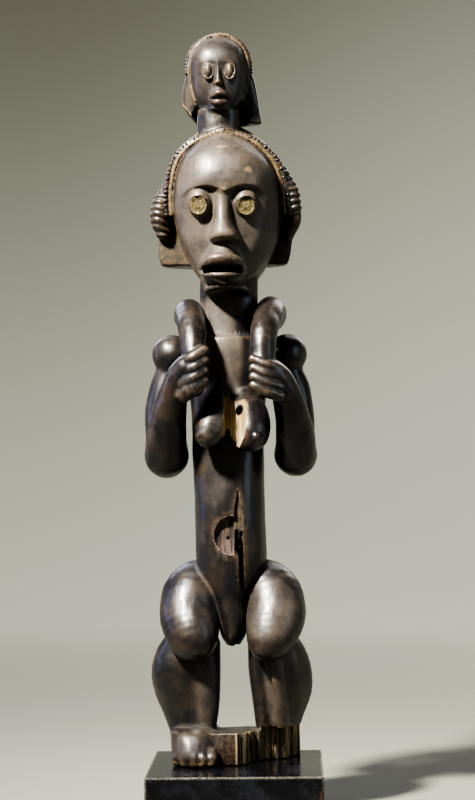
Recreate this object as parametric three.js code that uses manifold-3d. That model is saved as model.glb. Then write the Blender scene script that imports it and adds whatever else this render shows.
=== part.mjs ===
// A standing female reliquary figure carved from one block of wood, with a second small head
// rising from its coiffure, metal discs for eyes, and the square plinth it is fitted to.
// Millimetres, +Z up, the figure looks along -Y. Left and right are as the viewer sees them.

import * as THREE from 'three';
import { mergeVertices } from 'three/addons/utils/BufferGeometryUtils.js';
import Module from 'manifold-3d';

const wasm = await Module();
wasm.setup();

const { Vector3 } = THREE;
const LEFT = -1;
const RIGHT = 1;

// Driving dimensions
const PLINTH = { width: 150, depth: 150, height: 45, bevel: 1.2 };
const FIGURE_SET_BACK = 16;
const JOINT_GAP = 0.3;
const EYE_DISC = { radius: 7.9, thickness: 1.8, facets: 20 };
const FINENESS = 0.64;
const LEAST_FACETS = 3;

// The figure's own heights above its underside
const BLOCK_TOP = 31;
const CROTCH = 103;
const CHEST_TOP = 371;
const FLAP_BOTTOM = 437;
const BROW = 495;
const SMALL_FLAP_BOTTOM = 563;
const FIGURE_TOP = 644;

// Number of facets that a form gets along one way
const facets = (count) => Math.max(LEAST_FACETS, Math.round(count * FINENESS));

// Smooth value of every column of a table of key rows; place runs from 0 to 1 over the table
function rowAt(rows, place) {
  const last = rows.length - 1;
  const index = Math.min(Math.floor(place * last), last - 1);
  const local = place * last - index;
  const row = (i) => rows[THREE.MathUtils.clamp(i, 0, last)];
  return rows[0].map((_, column) => {
    const [a, b, c, d] = [-1, 0, 1, 2].map((step) => row(index + step)[column]);
    const bend = (2 * a - 5 * b + 4 * c - d) * local ** 2 + (3 * b - a - 3 * c + d) * local ** 3;
    return b + ((c - a) * local + bend) / 2;
  });
}

// Linear value of a two-column table at the height z, its rows running upwards
function heightAt(rows, z) {
  const next = rows.findIndex((row) => row[0] >= z);
  if (next <= 0) return rows.at(next)[1];
  const [low, high] = [rows[next - 1], rows[next]];
  return THREE.MathUtils.mapLinear(z, low[0], high[0], low[1], high[1]);
}

// Closed skin over rings of equally many points, each ring anticlockwise seen from the last one
function skin(rings) {
  const columns = rings[0].length;
  const points = rings.flat();
  const faces = [];
  for (let row = 0; row < rings.length - 1; row += 1) {
    for (let column = 0; column < columns; column += 1) {
      const a = row * columns + column;
      const b = row * columns + (column + 1) % columns;
      faces.push(a, b, b + columns, a, b + columns, a + columns);
    }
  }
  const cap = (row, outward) => {
    const ring = rings[row];
    const middle = ring.reduce((sum, point) => sum.add(point), new Vector3()).divideScalar(columns);
    const tip = points.push(middle) - 1;
    for (let column = 0; column < columns; column += 1) {
      const a = row * columns + column;
      const b = row * columns + (column + 1) % columns;
      faces.push(tip, ...(outward ? [a, b] : [b, a]));
    }
  };
  cap(0, false);
  cap(rings.length - 1, true);
  const geometry = new THREE.BufferGeometry().setFromPoints(points);
  geometry.setIndex(faces);
  return geometry;
}

// Solid from any closed geometry
function solid(geometry) {
  const bare = geometry.clone();
  bare.deleteAttribute('normal');
  bare.deleteAttribute('uv');
  const merged = mergeVertices(bare, 1e-4);
  return new wasm.Manifold(new wasm.Mesh({
    numProp: 3,
    vertProperties: new Float32Array(merged.attributes.position.array),
    triVerts: new Uint32Array(merged.index.array),
  }));
}

const join = (parts) => parts.reduce((whole, part) => whole.add(part));
const cut = (whole, parts) => parts.reduce((rest, part) => rest.subtract(part), whole);

// Outer skin of a body, which fills the small voids that joined forms close in between them
function filled(body) {
  return body.decompose().reduce((best, shell) => (shell.volume() > best.volume() ? shell : best));
}

function geometryOf(body) {
  const mesh = body.getMesh();
  const geometry = new THREE.BufferGeometry();
  geometry.setAttribute('position', new THREE.BufferAttribute(mesh.vertProperties, 3));
  geometry.setIndex(new THREE.BufferAttribute(mesh.triVerts, 1));
  geometry.computeVertexNormals();
  return geometry;
}

// Upright form from level sections, each key row being z, x, half width, front y, back y
function column(keys, { rows: levels, columns: sides, squareness = 2, widestY = 0 }) {
  const [rows, columns] = [facets(levels), facets(sides)];
  const power = 2 / squareness;
  const bulge = (wave) => Math.sign(wave) * Math.abs(wave) ** power;
  const rings = Array.from({ length: rows + 1 }, (_, row) => {
    const [z, x, halfWidth, front, back] = rowAt(keys, row / rows);
    return Array.from({ length: columns }, (__, index) => {
      const angle = (index / columns) * 2 * Math.PI;
      const across = bulge(Math.cos(angle)) * halfWidth;
      const reach = Math.sin(angle) < 0 ? widestY - front : back - widestY;
      return new Vector3(x + across, widestY + bulge(Math.sin(angle)) * reach, z);
    });
  });
  return solid(skin(rings));
}

// Limb along a smooth path with domed ends, each key row being x, y, z, radius
function limb(keys, { rows: steps, columns: sides, domeRows = 2 }) {
  const [rows, columns] = [facets(steps), facets(sides)];
  const path = new THREE.CatmullRomCurve3(keys.map(([x, y, z]) => new Vector3(x, y, z)));
  const frames = path.computeFrenetFrames(rows, false);
  const ring = (centre, radius, index) => Array.from({ length: columns }, (_, side) => {
    const angle = (side / columns) * 2 * Math.PI;
    return centre.clone()
      .addScaledVector(frames.normals[index], Math.cos(angle) * radius)
      .addScaledVector(frames.binormals[index], Math.sin(angle) * radius);
  });
  const radiusAt = (place) => rowAt(keys, path.getUtoTmapping(place))[3];
  const dome = (index, place, way) => Array.from({ length: domeRows }, (_, step) => {
    const lift = ((step + 1) / (domeRows + 0.35)) * (Math.PI / 2);
    const radius = radiusAt(place);
    const reach = way * radius * Math.sin(lift);
    const centre = path.getPointAt(place).addScaledVector(frames.tangents[index], reach);
    return ring(centre, radius * Math.cos(lift), index);
  });
  const shaft = Array.from({ length: rows + 1 }, (_, row) => (
    ring(path.getPointAt(row / rows), radiusAt(row / rows), row)
  ));
  return solid(skin([...dome(0, 0, -1).reverse(), ...shaft, ...dome(rows, 1, 1)]));
}

// Egg-shaped form, turned by degrees about X, Y and Z
function egg(centre, radii, { turn = [0, 0, 0], columns = 16, rows = 10 } = {}) {
  const geometry = new THREE.SphereGeometry(1, facets(columns), facets(rows));
  geometry.scale(...radii);
  const angles = turn.map((degrees) => THREE.MathUtils.degToRad(degrees));
  geometry.applyMatrix4(new THREE.Matrix4().makeRotationFromEuler(new THREE.Euler(...angles)));
  geometry.translate(...centre);
  return solid(geometry);
}

// Upright slab on a plan outline of x, y points
function slab(outline, low, high) {
  const shape = new THREE.Shape(outline.map(([x, y]) => new THREE.Vector2(x, y)));
  const geometry = new THREE.ExtrudeGeometry(shape, { depth: high - low, bevelEnabled: false });
  geometry.translate(0, 0, low);
  return solid(geometry);
}

// Cutter with a frontal outline of x, z points, running back from front to deep along +Y
function frontCutter(outline, front, deep) {
  const shape = new THREE.Shape(outline.map(([x, z]) => new THREE.Vector2(x, -z)));
  const geometry = new THREE.ExtrudeGeometry(shape, { depth: deep - front, bevelEnabled: false });
  geometry.rotateX(-Math.PI / 2);
  geometry.translate(0, front, 0);
  return solid(geometry);
}

const FACE_FULLNESS = 2.4;
const MASK_BACK_SHARE = 0.85;

// Face of a head: a front that bulges in the forehead and falls back below two brow arcs.
// outline rows are z, centre x, half width; the profiles are z, y of the middle of the face.
// The levels bend with the brow, so that its edge runs along them.
function mask({ outline, forehead, cheeks, brow, edgeY, backY, levels, sides }) {
  const [rows, columns] = [facets(levels), facets(sides)];
  const rings = Array.from({ length: rows + 1 }, (_, row) => {
    const [z, x, halfWidth] = rowAt(outline, row / rows);
    const below = brow.z - z;
    const edgeSunk = THREE.MathUtils.smoothstep(below, -brow.drop / 3, brow.drop);
    const sideSunk = THREE.MathUtils.smoothstep(below, -4 * brow.drop, 6 * brow.drop);
    const bend = brow.rise * Math.exp(-((below / (4 * brow.drop)) ** 2));
    const front = Array.from({ length: columns + 1 }, (__, index) => {
      const across = -Math.cos((index / columns) * Math.PI);
      const aside = Math.abs(across) / brow.spread;
      const sunk = THREE.MathUtils.lerp(edgeSunk, sideSunk, THREE.MathUtils.smoothstep(aside, 0.6, 1.1));
      const middle = THREE.MathUtils.lerp(heightAt(forehead, z), heightAt(cheeks, z), sunk);
      const arch = Math.sin(Math.min(aside, 1) * Math.PI);
      const round = Math.sqrt(Math.max(1 - Math.abs(across) ** FACE_FULLNESS, 0));
      return new Vector3(x + across * halfWidth, edgeY + (middle - edgeY) * round, z + bend * arch);
    });
    const back = [1, -1].map((side) => (
      new Vector3(x + side * MASK_BACK_SHARE * halfWidth, backY, z)
    ));
    return [...front, ...back];
  });
  return solid(skin(rings));
}

// Legs: thigh bulb, calf bulb and the shin's blade between knee and ankle
const LEGS = [
  {
    thigh: [
      [-20, 12, 161, 14], [-35, 4, 149, 25.5], [-39.5, -8, 130, 26.5], [-36.5, -18, 112, 22.5],
      [-33.5, -24, 103, 14],
    ],
    calf: [
      [-38, 0, 104, 16], [-42.5, 8, 87, 28], [-43.5, 11, 71, 30], [-40.5, 9, 47, 24], [-38.5, 5, 26, 18],
    ],
    shin: [[-31, -20, 98, 9], [-28.5, -20, 76, 8], [-28.5, -18, 50, 7.5], [-30, -15, 30, 7.5]],
  },
  {
    thigh: [
      [14, 12, 161, 14], [30, 4, 149, 25], [35.8, -8, 130, 26.5], [32, -18, 112, 22], [27.5, -24, 103, 14],
    ],
    calf: [[31, 0, 104, 16], [37, 8, 87, 26], [39.5, 11, 68, 28], [38, 9, 46, 23], [36, 5, 26, 17.5]],
    shin: [[28, -20, 98, 9], [30, -20, 76, 8.5], [32, -17, 52, 8], [34, -10, 34, 7.5]],
  },
];

const BUTTOCK = { centreX: -3, apart: 14.5, y: 17, z: 154, radii: [19, 21, 27], lean: -10 };

function legs() {
  const parts = LEGS.flatMap(({ thigh, calf, shin }) => [
    limb(thigh, { rows: 9, columns: 15 }),
    limb(calf, { rows: 9, columns: 15 }),
    limb(shin, { rows: 6, columns: 8, domeRows: 1 }),
  ]);
  const { centreX, apart, y, z, radii, lean } = BUTTOCK;
  const buttocks = [LEFT, RIGHT].map((side) => (
    egg([centreX + side * apart, y, z], radii, { turn: [lean, 0, 0], columns: 14, rows: 8 })
  ));
  return [...parts, ...buttocks];
}

// Foot block: the left foot with its toes, the sunk bar between the feet, and the right foot's
// heel, whose front broke away along the grain and left upright splinters
const INSTEP = [
  [0, -36, 19, -42, 40], [9, -36, 21, -45.5, 44], [20, -36.5, 21, -40, 44], [29, -37, 19, -30, 38],
  [36, -37.5, 15, -18, 30],
];
const TOES = { count: 5, outerX: -50, innerX: -20.5, frontY: -41, arc: 5.5, outerSetBack: 10 };
const HEEL = { centre: [35, 24, 14], radii: [18.5, 27, 21] };
const BAR_BACK = [[50, 50], [30, 51], [20, 14], [-15, 12], [-40, 30], [-40, -30], [-14, -31]];
const BREAK_LINE = [[1, -31], [9, -25], [27, 1], [42, 7], [52, 25], [56, 44]];
const SPLINTER = { count: 20, depth: 1.9 };

function brokenFront() {
  const line = new THREE.SplineCurve(BREAK_LINE.map(([x, y]) => new THREE.Vector2(x, y)));
  return Array.from({ length: SPLINTER.count + 1 }, (_, index) => {
    const point = line.getPointAt(index / SPLINTER.count);
    const jag = Math.sin(index * 2.4) * SPLINTER.depth;
    return [point.x + jag * 0.5, point.y - jag];
  });
}

// Room of the right foot's lost front, from the break outwards and up to the ankle
function lostFront() {
  const [innerX] = BREAK_LINE[0];
  const [, outerY] = BREAK_LINE.at(-1);
  return slab([[innerX, -90], ...brokenFront(), [90, outerY], [90, -90]], -1, BLOCK_TOP - 1);
}

function toe(share) {
  const { outerX, innerX, frontY, arc, outerSetBack } = TOES;
  const x = THREE.MathUtils.lerp(outerX, innerX, share);
  const curve = arc * Math.sin((0.25 + share * 0.55) * Math.PI);
  const tipY = frontY - curve + outerSetBack * (1 - share) ** 3;
  const keys = [[x, tipY + 14, 9.5, 4], [x - 0.6, tipY + 5, 7.5, 4.2], [x - 1, tipY + 1.5, 4.3, 3.9]];
  return limb(keys, { rows: 4, columns: 8, domeRows: 1 });
}

function footBlock() {
  const bar = slab([...brokenFront(), ...BAR_BACK], 0, BLOCK_TOP - 3);
  const heel = egg(HEEL.centre, HEEL.radii, { columns: 16, rows: 8 });
  const foot = column(INSTEP, { rows: 6, columns: 18, squareness: 2.3, widestY: 4 });
  const toes = Array.from({ length: TOES.count }, (_, index) => toe(index / (TOES.count - 1)));
  return [bar, heel, foot, ...toes];
}

// Trunk: the torso's cylinder with its raw tapered end between the thighs, chest and neck
const TORSO = [
  [CROTCH, -2, 5, -15, 0],
  [112, -1.5, 11.5, -22, 8],
  [126, -2.3, 13.4, -26, 22],
  [144, -4.6, 16.4, -28, 28],
  [162, -3.2, 27, -30, 29.5],
  [178, -2.6, 31, -31, 29],
  [215, -3.1, 30.7, -31.5, 28],
  [263, -4.2, 31.3, -29, 28],
  [300, -4.2, 32, -27, 29],
  [335, -3.8, 35, -28.5, 30],
  [358, -3.4, 36, -29, 28],
  [CHEST_TOP, -3, 29, -27, 24],
];
const NECK = [
  [CHEST_TOP - 12, -2.4, 25.5, -25, 25],
  [CHEST_TOP + 8, -2.3, 25.7, -25, 25],
  [400, -2.2, 25.6, -24.5, 25],
  [428, -2, 26, -24, 27],
];
const LEFT_BREAST = [[-9, -24, 322, 10], [-14, -33, 306, 12], [-19, -42, 291, 11.5], [-22, -47, 286, 8.5]];
const RIGHT_BREAST = [[12, -22, 311, 15], [14.5, -32, 300, 18], [15.5, -40, 289, 18], [16, -46, 285, 13]];

function trunk() {
  return [
    column(TORSO, { rows: 18, columns: 18, squareness: 2.15 }),
    column(NECK, { rows: 3, columns: 16 }),
    limb(LEFT_BREAST, { rows: 5, columns: 12, domeRows: 2 }),
    limb(RIGHT_BREAST, { rows: 5, columns: 14, domeRows: 2 }),
  ];
}

// Damage on the trunk: the broken inner side of the right breast with its knot hole, the navel's
// scar, a nail hole in it, and the drying crack beside it
const BEFORE_TRUNK = -70;
const BREAST_BREAK = { outline: [[-6, 262], [4, 270], [5.5, 290], [3, 313], [-6, 318]], y: -33.5 };
const KNOT_HOLE = { centre: [7.3, -46, 306], radii: [2.8, 13, 4.4], turn: [0, 18, 0] };
const SCAR = { x: 0.4, z: 198, radius: 16.8, y: -25 };
const NAIL_HOLE = { centre: [-4.4, -27, 195.5], radii: [1.4, 7, 1.4] };
const CRACK = {
  outline: [[2.6, 238], [0.6, 210], [1, 186], [3.7, 142], [6.2, 142], [6.8, 184], [6, 208]], y: -15,
};

function trunkLosses() {
  const rim = new THREE.EllipseCurve(SCAR.x, SCAR.z, SCAR.radius, SCAR.radius, Math.PI / 2, 1.5 * Math.PI);
  return [
    frontCutter(BREAST_BREAK.outline, BEFORE_TRUNK, BREAST_BREAK.y),
    egg(KNOT_HOLE.centre, KNOT_HOLE.radii, { turn: KNOT_HOLE.turn, columns: 10, rows: 8 }),
    frontCutter(rim.getPoints(10).map(({ x, y }) => [x, y]), BEFORE_TRUNK, SCAR.y),
    egg(NAIL_HOLE.centre, NAIL_HOLE.radii, { columns: 9, rows: 6 }),
    frontCutter(CRACK.outline, BEFORE_TRUNK, CRACK.y),
  ];
}

// Arms: shoulder ball, upper arm, forearm folded up to the chest, and a hand that grips the roll
const ARMS = [
  {
    shoulder: { centre: [-53.4, 8, 357.4], radius: 17.8 },
    upperArm: [
      [-52, 10, 345, 14], [-60, 10, 326, 14.5], [-63, 7, 303, 15], [-59, 0, 280, 18], [-58.5, -5, 268, 19],
    ],
    forearm: [
      [-58.5, -9, 267.5, 18.5], [-57.5, -20, 284, 17.5], [-52, -38, 312, 13.5], [-45, -50, 333, 11.5],
      [-37, -55, 343, 11],
    ],
    palm: { centre: [-37, -50, 338], radii: [11, 10, 17], turn: [0, 22, 0] },
    fingers: { knuckleX: -40, tipX: -22.5, lowZ: 324.5, highZ: 350.5, rise: 6.5 },
  },
  {
    shoulder: { centre: [48.5, 8, 357], radius: 17.5 },
    upperArm: [
      [46, 10, 345, 14], [54.5, 10, 326, 14], [57.5, 7, 303, 14.5], [55.5, 0, 280, 17], [55, -5, 268, 18.5],
    ],
    forearm: [
      [55, -9, 267, 18], [55, -20, 284, 17], [51, -38, 308, 14], [44, -50, 329, 11.5], [36, -55, 338, 11],
    ],
    palm: { centre: [33, -50, 335], radii: [12, 10, 16], turn: [0, -24, 0] },
    fingers: { knuckleX: 39, tipX: 20, lowZ: 321.5, highZ: 344, rise: 5.5 },
  },
];
const FINGERS = { count: 4, radius: 4.7, front: -64, wrap: 9 };

function hand({ knuckleX, tipX, lowZ, highZ, rise }) {
  return Array.from({ length: FINGERS.count }, (_, index) => {
    const z = THREE.MathUtils.lerp(lowZ, highZ, index / (FINGERS.count - 1));
    const middleX = (knuckleX + tipX) / 2;
    return limb([
      [knuckleX, FINGERS.front + FINGERS.wrap, z - rise * 0.6, FINGERS.radius],
      [middleX, FINGERS.front + 1, z, FINGERS.radius],
      [tipX, FINGERS.front + FINGERS.wrap * 0.7, z + rise * 0.7, FINGERS.radius],
    ], { rows: 6, columns: 8, domeRows: 1 });
  });
}

function arms() {
  return ARMS.flatMap(({ shoulder, upperArm, forearm, palm, fingers }) => [
    egg(shoulder.centre, Array(3).fill(shoulder.radius), { columns: 14, rows: 9 }),
    limb(upperArm, { rows: 6, columns: 12 }),
    limb(forearm, { rows: 8, columns: 12 }),
    egg(palm.centre, palm.radii, { turn: palm.turn, columns: 10, rows: 6 }),
    ...hand(fingers),
  ]);
}

// Thick roll that lies round the back of the neck, its ends held against the chest
const ROLL = [
  [-31, -58, 326, 9], [-31.5, -54, 352, 10], [-32.5, -42, 376, 12], [-37, -10, 393, 12.5],
  [-36, 18, 389, 12.5],
  [-2, 34, 384, 12.5],
  [33, 18, 389, 12.5], [34.5, -10, 394, 12.5], [29, -42, 374, 12], [28, -54, 350, 10.5],
  [27, -58, 324, 9],
];

function roll() {
  return [limb(ROLL, { rows: 24, columns: 11, domeRows: 1 })];
}

// Large head
const FACE = {
  outline: [
    [408, -5, 12], [412, -4.5, 16.5], [425, -2.2, 26.3], [440, -1.4, 35.9], [450, -1.3, 40.4],
    [460, -1.4, 44.2], [471, -1.6, 47], [481, -2.1, 48.7], [492, -2.6, 48.8], [500, -3, 48.2],
    [511, -3.4, 46.2], [521, -3.7, 43.7], [531, -4.4, 38.5], [541, -5, 28.5], [547, -4.7, 18.5],
    [551, -4.4, 7],
  ],
  forehead: [
    [400, -40], [480, -45], [497, -46.5], [508, -47.5], [518, -46], [528, -42], [537, -35], [545, -25.5],
    [551, -13],
  ],
  cheeks: [
    [404, -18], [410, -24], [425, -30], [445, -33.5], [470, -35.5], [482, -37], [497, -40], [550, -40],
  ],
  brow: { z: BROW, rise: 5.5, drop: 3.6, spread: 0.8 },
  edgeY: 6, backY: 22, levels: 38, sides: 20,
};
const NOSE = [
  [452.3, -3.8, 10, -44, -24], [454.5, -3.8, 13.2, -50, -24], [458, -4, 12.4, -52, -24],
  [466, -5, 9.2, -49.5, -26], [477, -5.7, 7.2, -46, -28], [488, -5.6, 7.4, -43.5, -30],
  [498, -5.2, 8.5, -43.5, -32],
];
const EYES = [
  {
    lid: { centre: [-24.9, -30.5, 487], radii: [11.2, 11, 13.4] },
    disc: [-26.3, 483.7],
    facing: [-0.16, -1, -0.14],
  },
  {
    lid: { centre: [13.8, -30.5, 486], radii: [11.4, 11, 13.2] },
    disc: [15.1, 482.7],
    facing: [0.16, -1, -0.14],
  },
];
const EYE_DISC_Y = -40.4;
const SOCKET_REACH = 14;
const MUZZLE = [
  [407.5, -4.5, 11, -22, 0], [409.5, -4.3, 16, -34, 0], [413, -4.2, 17.6, -40, 0], [416, -4.6, 17, -41, 0],
  [418.5, -5.6, 18, -44, 0], [421.5, -6.4, 20.6, -51, 0], [424.5, -6.6, 21, -53.5, 0],
  [431, -6.6, 21.2, -56, 0], [436, -6.6, 20.8, -56, 0], [440, -6.3, 17.5, -53, 0], [446, -5.4, 14, -46, 0],
  [453, -4.4, 11.5, -40, 0],
];
const MOUTH = { low: 424.8, high: 430.8, x: -6.1, halfWidth: 16.5, arcY: -44, reach: 22, backY: -32 };

function head() {
  const face = mask(FACE);
  const muzzle = column(MUZZLE, { rows: 12, columns: 16, squareness: 2.2, widestY: -18 });
  const lids = EYES.map(({ lid }) => egg(lid.centre, lid.radii, { columns: 14, rows: 9 }));
  return [face, muzzle, column(NOSE, { rows: 8, columns: 12, squareness: 1.8, widestY: -30 }), ...lids];
}

// Cutter of an open mouth: level, rounded in front, its back straight behind the teeth
function openMouth({ low, high, x, halfWidth, arcY, reach, backY }) {
  const arc = new THREE.EllipseCurve(x, arcY, halfWidth, reach, Math.PI, 2 * Math.PI).getPoints(9);
  const front = arc.map((point) => [point.x, point.y]);
  return slab([...front, [x + halfWidth, backY], [x - halfWidth, backY]], low, high);
}

// Round plug that faces out of an eye, from its back to its front as distances from the disc's middle
function eyePlug({ disc: [x, z], facing }, radius, back, front) {
  const geometry = new THREE.CylinderGeometry(radius, radius, front - back, EYE_DISC.facets);
  const outward = new Vector3(...facing).normalize();
  geometry.applyQuaternion(new THREE.Quaternion().setFromUnitVectors(new Vector3(0, 1, 0), outward));
  const centre = new Vector3(x, EYE_DISC_Y, z).addScaledVector(outward, (front + back) / 2);
  geometry.translate(...centre.toArray());
  return geometry;
}

const eyeDisc = (eye) => eyePlug(eye, EYE_DISC.radius, -EYE_DISC.thickness / 2, EYE_DISC.thickness / 2);

// Socket open to the front, as deep as the disc's back and its gap
function eyeSocket(eye) {
  const back = -EYE_DISC.thickness / 2 - JOINT_GAP;
  return solid(eyePlug(eye, EYE_DISC.radius + JOINT_GAP, back, SOCKET_REACH));
}

// Coiffure of the large head: a helmet whose flap hangs round the nape, hollow under the skull
const COIFFURE = [
  [FLAP_BOTTOM, -6, 56, 0, 50], [446, -6, 58.5, 0, 53], [458, -5, 59.5, 0, 56], [474, -2.2, 61.5, -2, 58],
  [499, -0.8, 60, -6, 58], [520, -4.4, 50.8, -10, 54], [540, -5.4, 41.8, -12, 44],
  [552, -5.2, 29, -10, 32], [560.5, -4, 12, -4, 18],
];
const FLAP_HOLLOW = [
  [FLAP_BOTTOM - 6, -5, 46, -60, 41], [450, -5, 49, -60, 44], [462, -3, 49, -58, 46],
  [474, -2, 44, -50, 43], [480, -2, 34, -44, 34],
];
const TRESSES = [
  { low: [-64.5, 4, 472], high: [-53, 2, 508], radius: 6.8, ridges: 4 },
  { low: [57, 4, 484], high: [46, 0, 521], radius: 6, ridges: 4 },
];
const TRESS_GROOVE = 1.5;
const RIGHT_LOBE = [[57.5, 4, 484, 5], [58, 5, 474, 5.5], [54, 6, 463, 4]];
const HAIRLINE = { radius: 2.6, setForward: 8, lean: 0.12 };

function hairline({ outline, edgeY }, { from, lift, rows }) {
  const side = outline.filter(([z]) => z > from);
  const { radius, setForward, lean } = HAIRLINE;
  const point = (way) => ([z, x, halfWidth]) => [
    x + way * (halfWidth + lift), edgeY - setForward - (z - from) * lean, z, radius,
  ];
  const [topZ, topX] = side.at(-1);
  const top = [topX, edgeY - setForward - (topZ - from) * lean - radius, topZ + lift / 2, radius];
  const path = [...side.map(point(LEFT)), top, ...side.toReversed().map(point(RIGHT))];
  return limb(path, { rows, columns: 6, domeRows: 1 });
}

// Tress with a groove between every two of its ridges
function tress({ low, high, radius, ridges }) {
  const last = 2 * (ridges - 1);
  const keys = Array.from({ length: last + 1 }, (_, index) => {
    const point = new Vector3(...low).lerp(new Vector3(...high), index / last);
    return [...point.toArray(), radius - (index % 2) * TRESS_GROOVE];
  });
  return limb(keys, { rows: last / FINENESS, columns: 10, domeRows: 1 });
}

function coiffure() {
  const helmet = column(COIFFURE, { rows: 14, columns: 24, squareness: 2.25, widestY: 12 });
  const hollow = column(FLAP_HOLLOW, { rows: 5, columns: 20, squareness: 2.4, widestY: 6 });
  const lobe = limb(RIGHT_LOBE, { rows: 3, columns: 8, domeRows: 1 });
  const ridge = hairline(FACE, { from: 480, lift: 1.5, rows: 24 });
  return [cut(helmet, [hollow]), ...TRESSES.map(tress), lobe, ridge];
}

// Small head and the neck it stands on
const SMALL_NECK = [[545, -9.2, 18, -12, 24], [560, -9.3, 18.8, -13, 25], [575, -9.2, 18.5, -12, 25]];
const SMALL_FACE = {
  outline: [
    [571, -8.9, 9], [574, -8.9, 14], [582, -8.8, 20], [594, -8.6, 23.8], [607, -8.6, 24.8],
    [617, -8.6, 23.6], [626, -8.5, 20], [632, -8.4, 14], [635.5, -8.3, 6],
  ],
  forehead: [[560, -18], [605, -21], [616, -21.5], [624, -18], [631, -11], [636, -2]],
  cheeks: [[566, -6], [572, -11], [585, -15], [600, -16.5], [612, -18], [640, -18]],
  brow: { z: 614, rise: 2, drop: 2.4, spread: 0.8 },
  edgeY: 4, backY: 10, levels: 18, sides: 12,
};
const SMALL_NOSE = [
  [592.5, -8.7, 4, -20, -8], [594.5, -8.7, 5.2, -23, -8], [600, -8.7, 4.2, -21.5, -8],
  [608, -8.7, 3.2, -19.8, -8], [616, -8.6, 3.4, -19.5, -8],
];
const SMALL_LID = { centres: [[-17.4, -12.5, 606], [2.2, -12.5, 605.4]], radii: [5.4, 6, 8.6] };
const SMALL_MOUTH = { low: 579.2, high: 581.8, x: -7.4, halfWidth: 8, arcY: -20, reach: 9, backY: -17 };
const SMALL_MUZZLE = [
  [571, -8.8, 6, -12, 0], [574, -8.5, 9, -19, 0], [577, -7.6, 9.8, -24, 0], [580, -7.4, 10, -25.5, 0],
  [584, -7.4, 10, -25.5, 0], [588, -7.6, 8.8, -22.5, 0], [593, -8.4, 6, -17, 0],
];
const SMALL_COIFFURE = [
  [SMALL_FLAP_BOTTOM, -7, 36, 3, 30], [575, -7.6, 34.5, 2, 34], [590, -8.4, 33.4, 1, 37],
  [604, -8.6, 30.4, -1, 37], [618, -9, 26, -3, 34], [631, -10, 20.4, -4, 27], [639, -10.2, 13, -2, 20],
  [FIGURE_TOP, -10.1, 4, 3, 12],
];
const SMALL_HOLLOW = [
  [SMALL_FLAP_BOTTOM - 5, -8, 30, -30, 24], [572, -8, 28, -30, 27], [581, -8, 22, -24, 24],
];
const BROKEN_CORNER = [[-60, 586], [-41.5, 580], [-29.5, 565], [-28, 552], [-60, 552]];

function smallHead() {
  const helmet = column(SMALL_COIFFURE, { rows: 10, columns: 18, squareness: 2.3, widestY: 10 });
  const hollow = column(SMALL_HOLLOW, { rows: 5, columns: 14, squareness: 2.3, widestY: 4 });
  const brokenCorner = frontCutter(BROKEN_CORNER, -40, 60);
  const lids = SMALL_LID.centres.map((centre) => egg(centre, SMALL_LID.radii, { columns: 12, rows: 8 }));
  return [
    column(SMALL_NECK, { rows: 2, columns: 16 }),
    cut(helmet, [hollow, brokenCorner]),
    mask(SMALL_FACE),
    column(SMALL_NOSE, { rows: 5, columns: 8, squareness: 1.8, widestY: -12 }),
    column(SMALL_MUZZLE, { rows: 7, columns: 12, widestY: -6 }),
    ...lids,
    hairline(SMALL_FACE, { from: 596, lift: 0.8, rows: 20 }),
  ];
}

// The figure as one solid
function carvedFigure() {
  const carving = [
    ...footBlock(), ...legs(), ...trunk(), ...arms(), ...roll(), ...head(), ...coiffure(), ...smallHead(),
  ];
  const mouths = [MOUTH, SMALL_MOUTH].map(openMouth);
  const losses = [...trunkLosses(), lostFront(), ...mouths, ...EYES.map(eyeSocket)];
  const below = slab([[-100, -100], [100, -100], [100, 100], [-100, 100]], -40, 0);
  return geometryOf(filled(cut(join(carving), [...losses, below])));
}

// Square plinth with a worn edge round its top
function plinth() {
  const { width, depth, height, bevel } = PLINTH;
  const shape = new THREE.Shape();
  const [halfX, halfY] = [width / 2 - bevel, depth / 2 - bevel];
  shape.moveTo(-halfX, -halfY).lineTo(halfX, -halfY).lineTo(halfX, halfY).lineTo(-halfX, halfY);
  const geometry = new THREE.ExtrudeGeometry(shape, {
    depth: height - 2 * bevel, bevelThickness: bevel, bevelSize: bevel, bevelSegments: 2, curveSegments: 1,
  });
  geometry.translate(0, 0, bevel);
  return geometryOf(solid(geometry));
}

function mesh(name, geometry, material, position) {
  const piece = new THREE.Mesh(geometry, material);
  piece.name = name;
  piece.position.set(...position);
  return piece;
}

const darkWood = new THREE.MeshStandardMaterial({ color: 0x2b2420, roughness: 0.34, metalness: 0 });
const discMetal = new THREE.MeshStandardMaterial({ color: 0x8c7641, roughness: 0.45, metalness: 0.8 });
const blackLacquer = new THREE.MeshStandardMaterial({ color: 0x0c0c0e, roughness: 0.16, metalness: 0 });

const figurePlace = [0, FIGURE_SET_BACK, PLINTH.height];
const group = new THREE.Group();
group.add(
  mesh('carved_figure', carvedFigure(), darkWood, figurePlace),
  mesh('left_eye_disc', eyeDisc(EYES[0]), discMetal, figurePlace),
  mesh('right_eye_disc', eyeDisc(EYES[1]), discMetal, figurePlace),
  mesh('plinth', plinth(), blackLacquer, [0, 0, 0]),
);

export default group;
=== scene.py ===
"""Looks of a carved wooden reliquary figure on a square black plinth.

The figure is carved out of a block of wood as a field of distances: rounded forms are joined
softly, losses are cut into it, and its skin is laid over the result. Forms are measured in
millimetres from the figure's own underside, left and right as the viewer sees them. The scene
is in metres.
"""

from __future__ import annotations

import logging
import math
from dataclasses import dataclass, field
from enum import Enum
from typing import Sequence

import bmesh
import bpy
import numpy as np
from mathutils import Euler, Matrix, Vector

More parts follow.
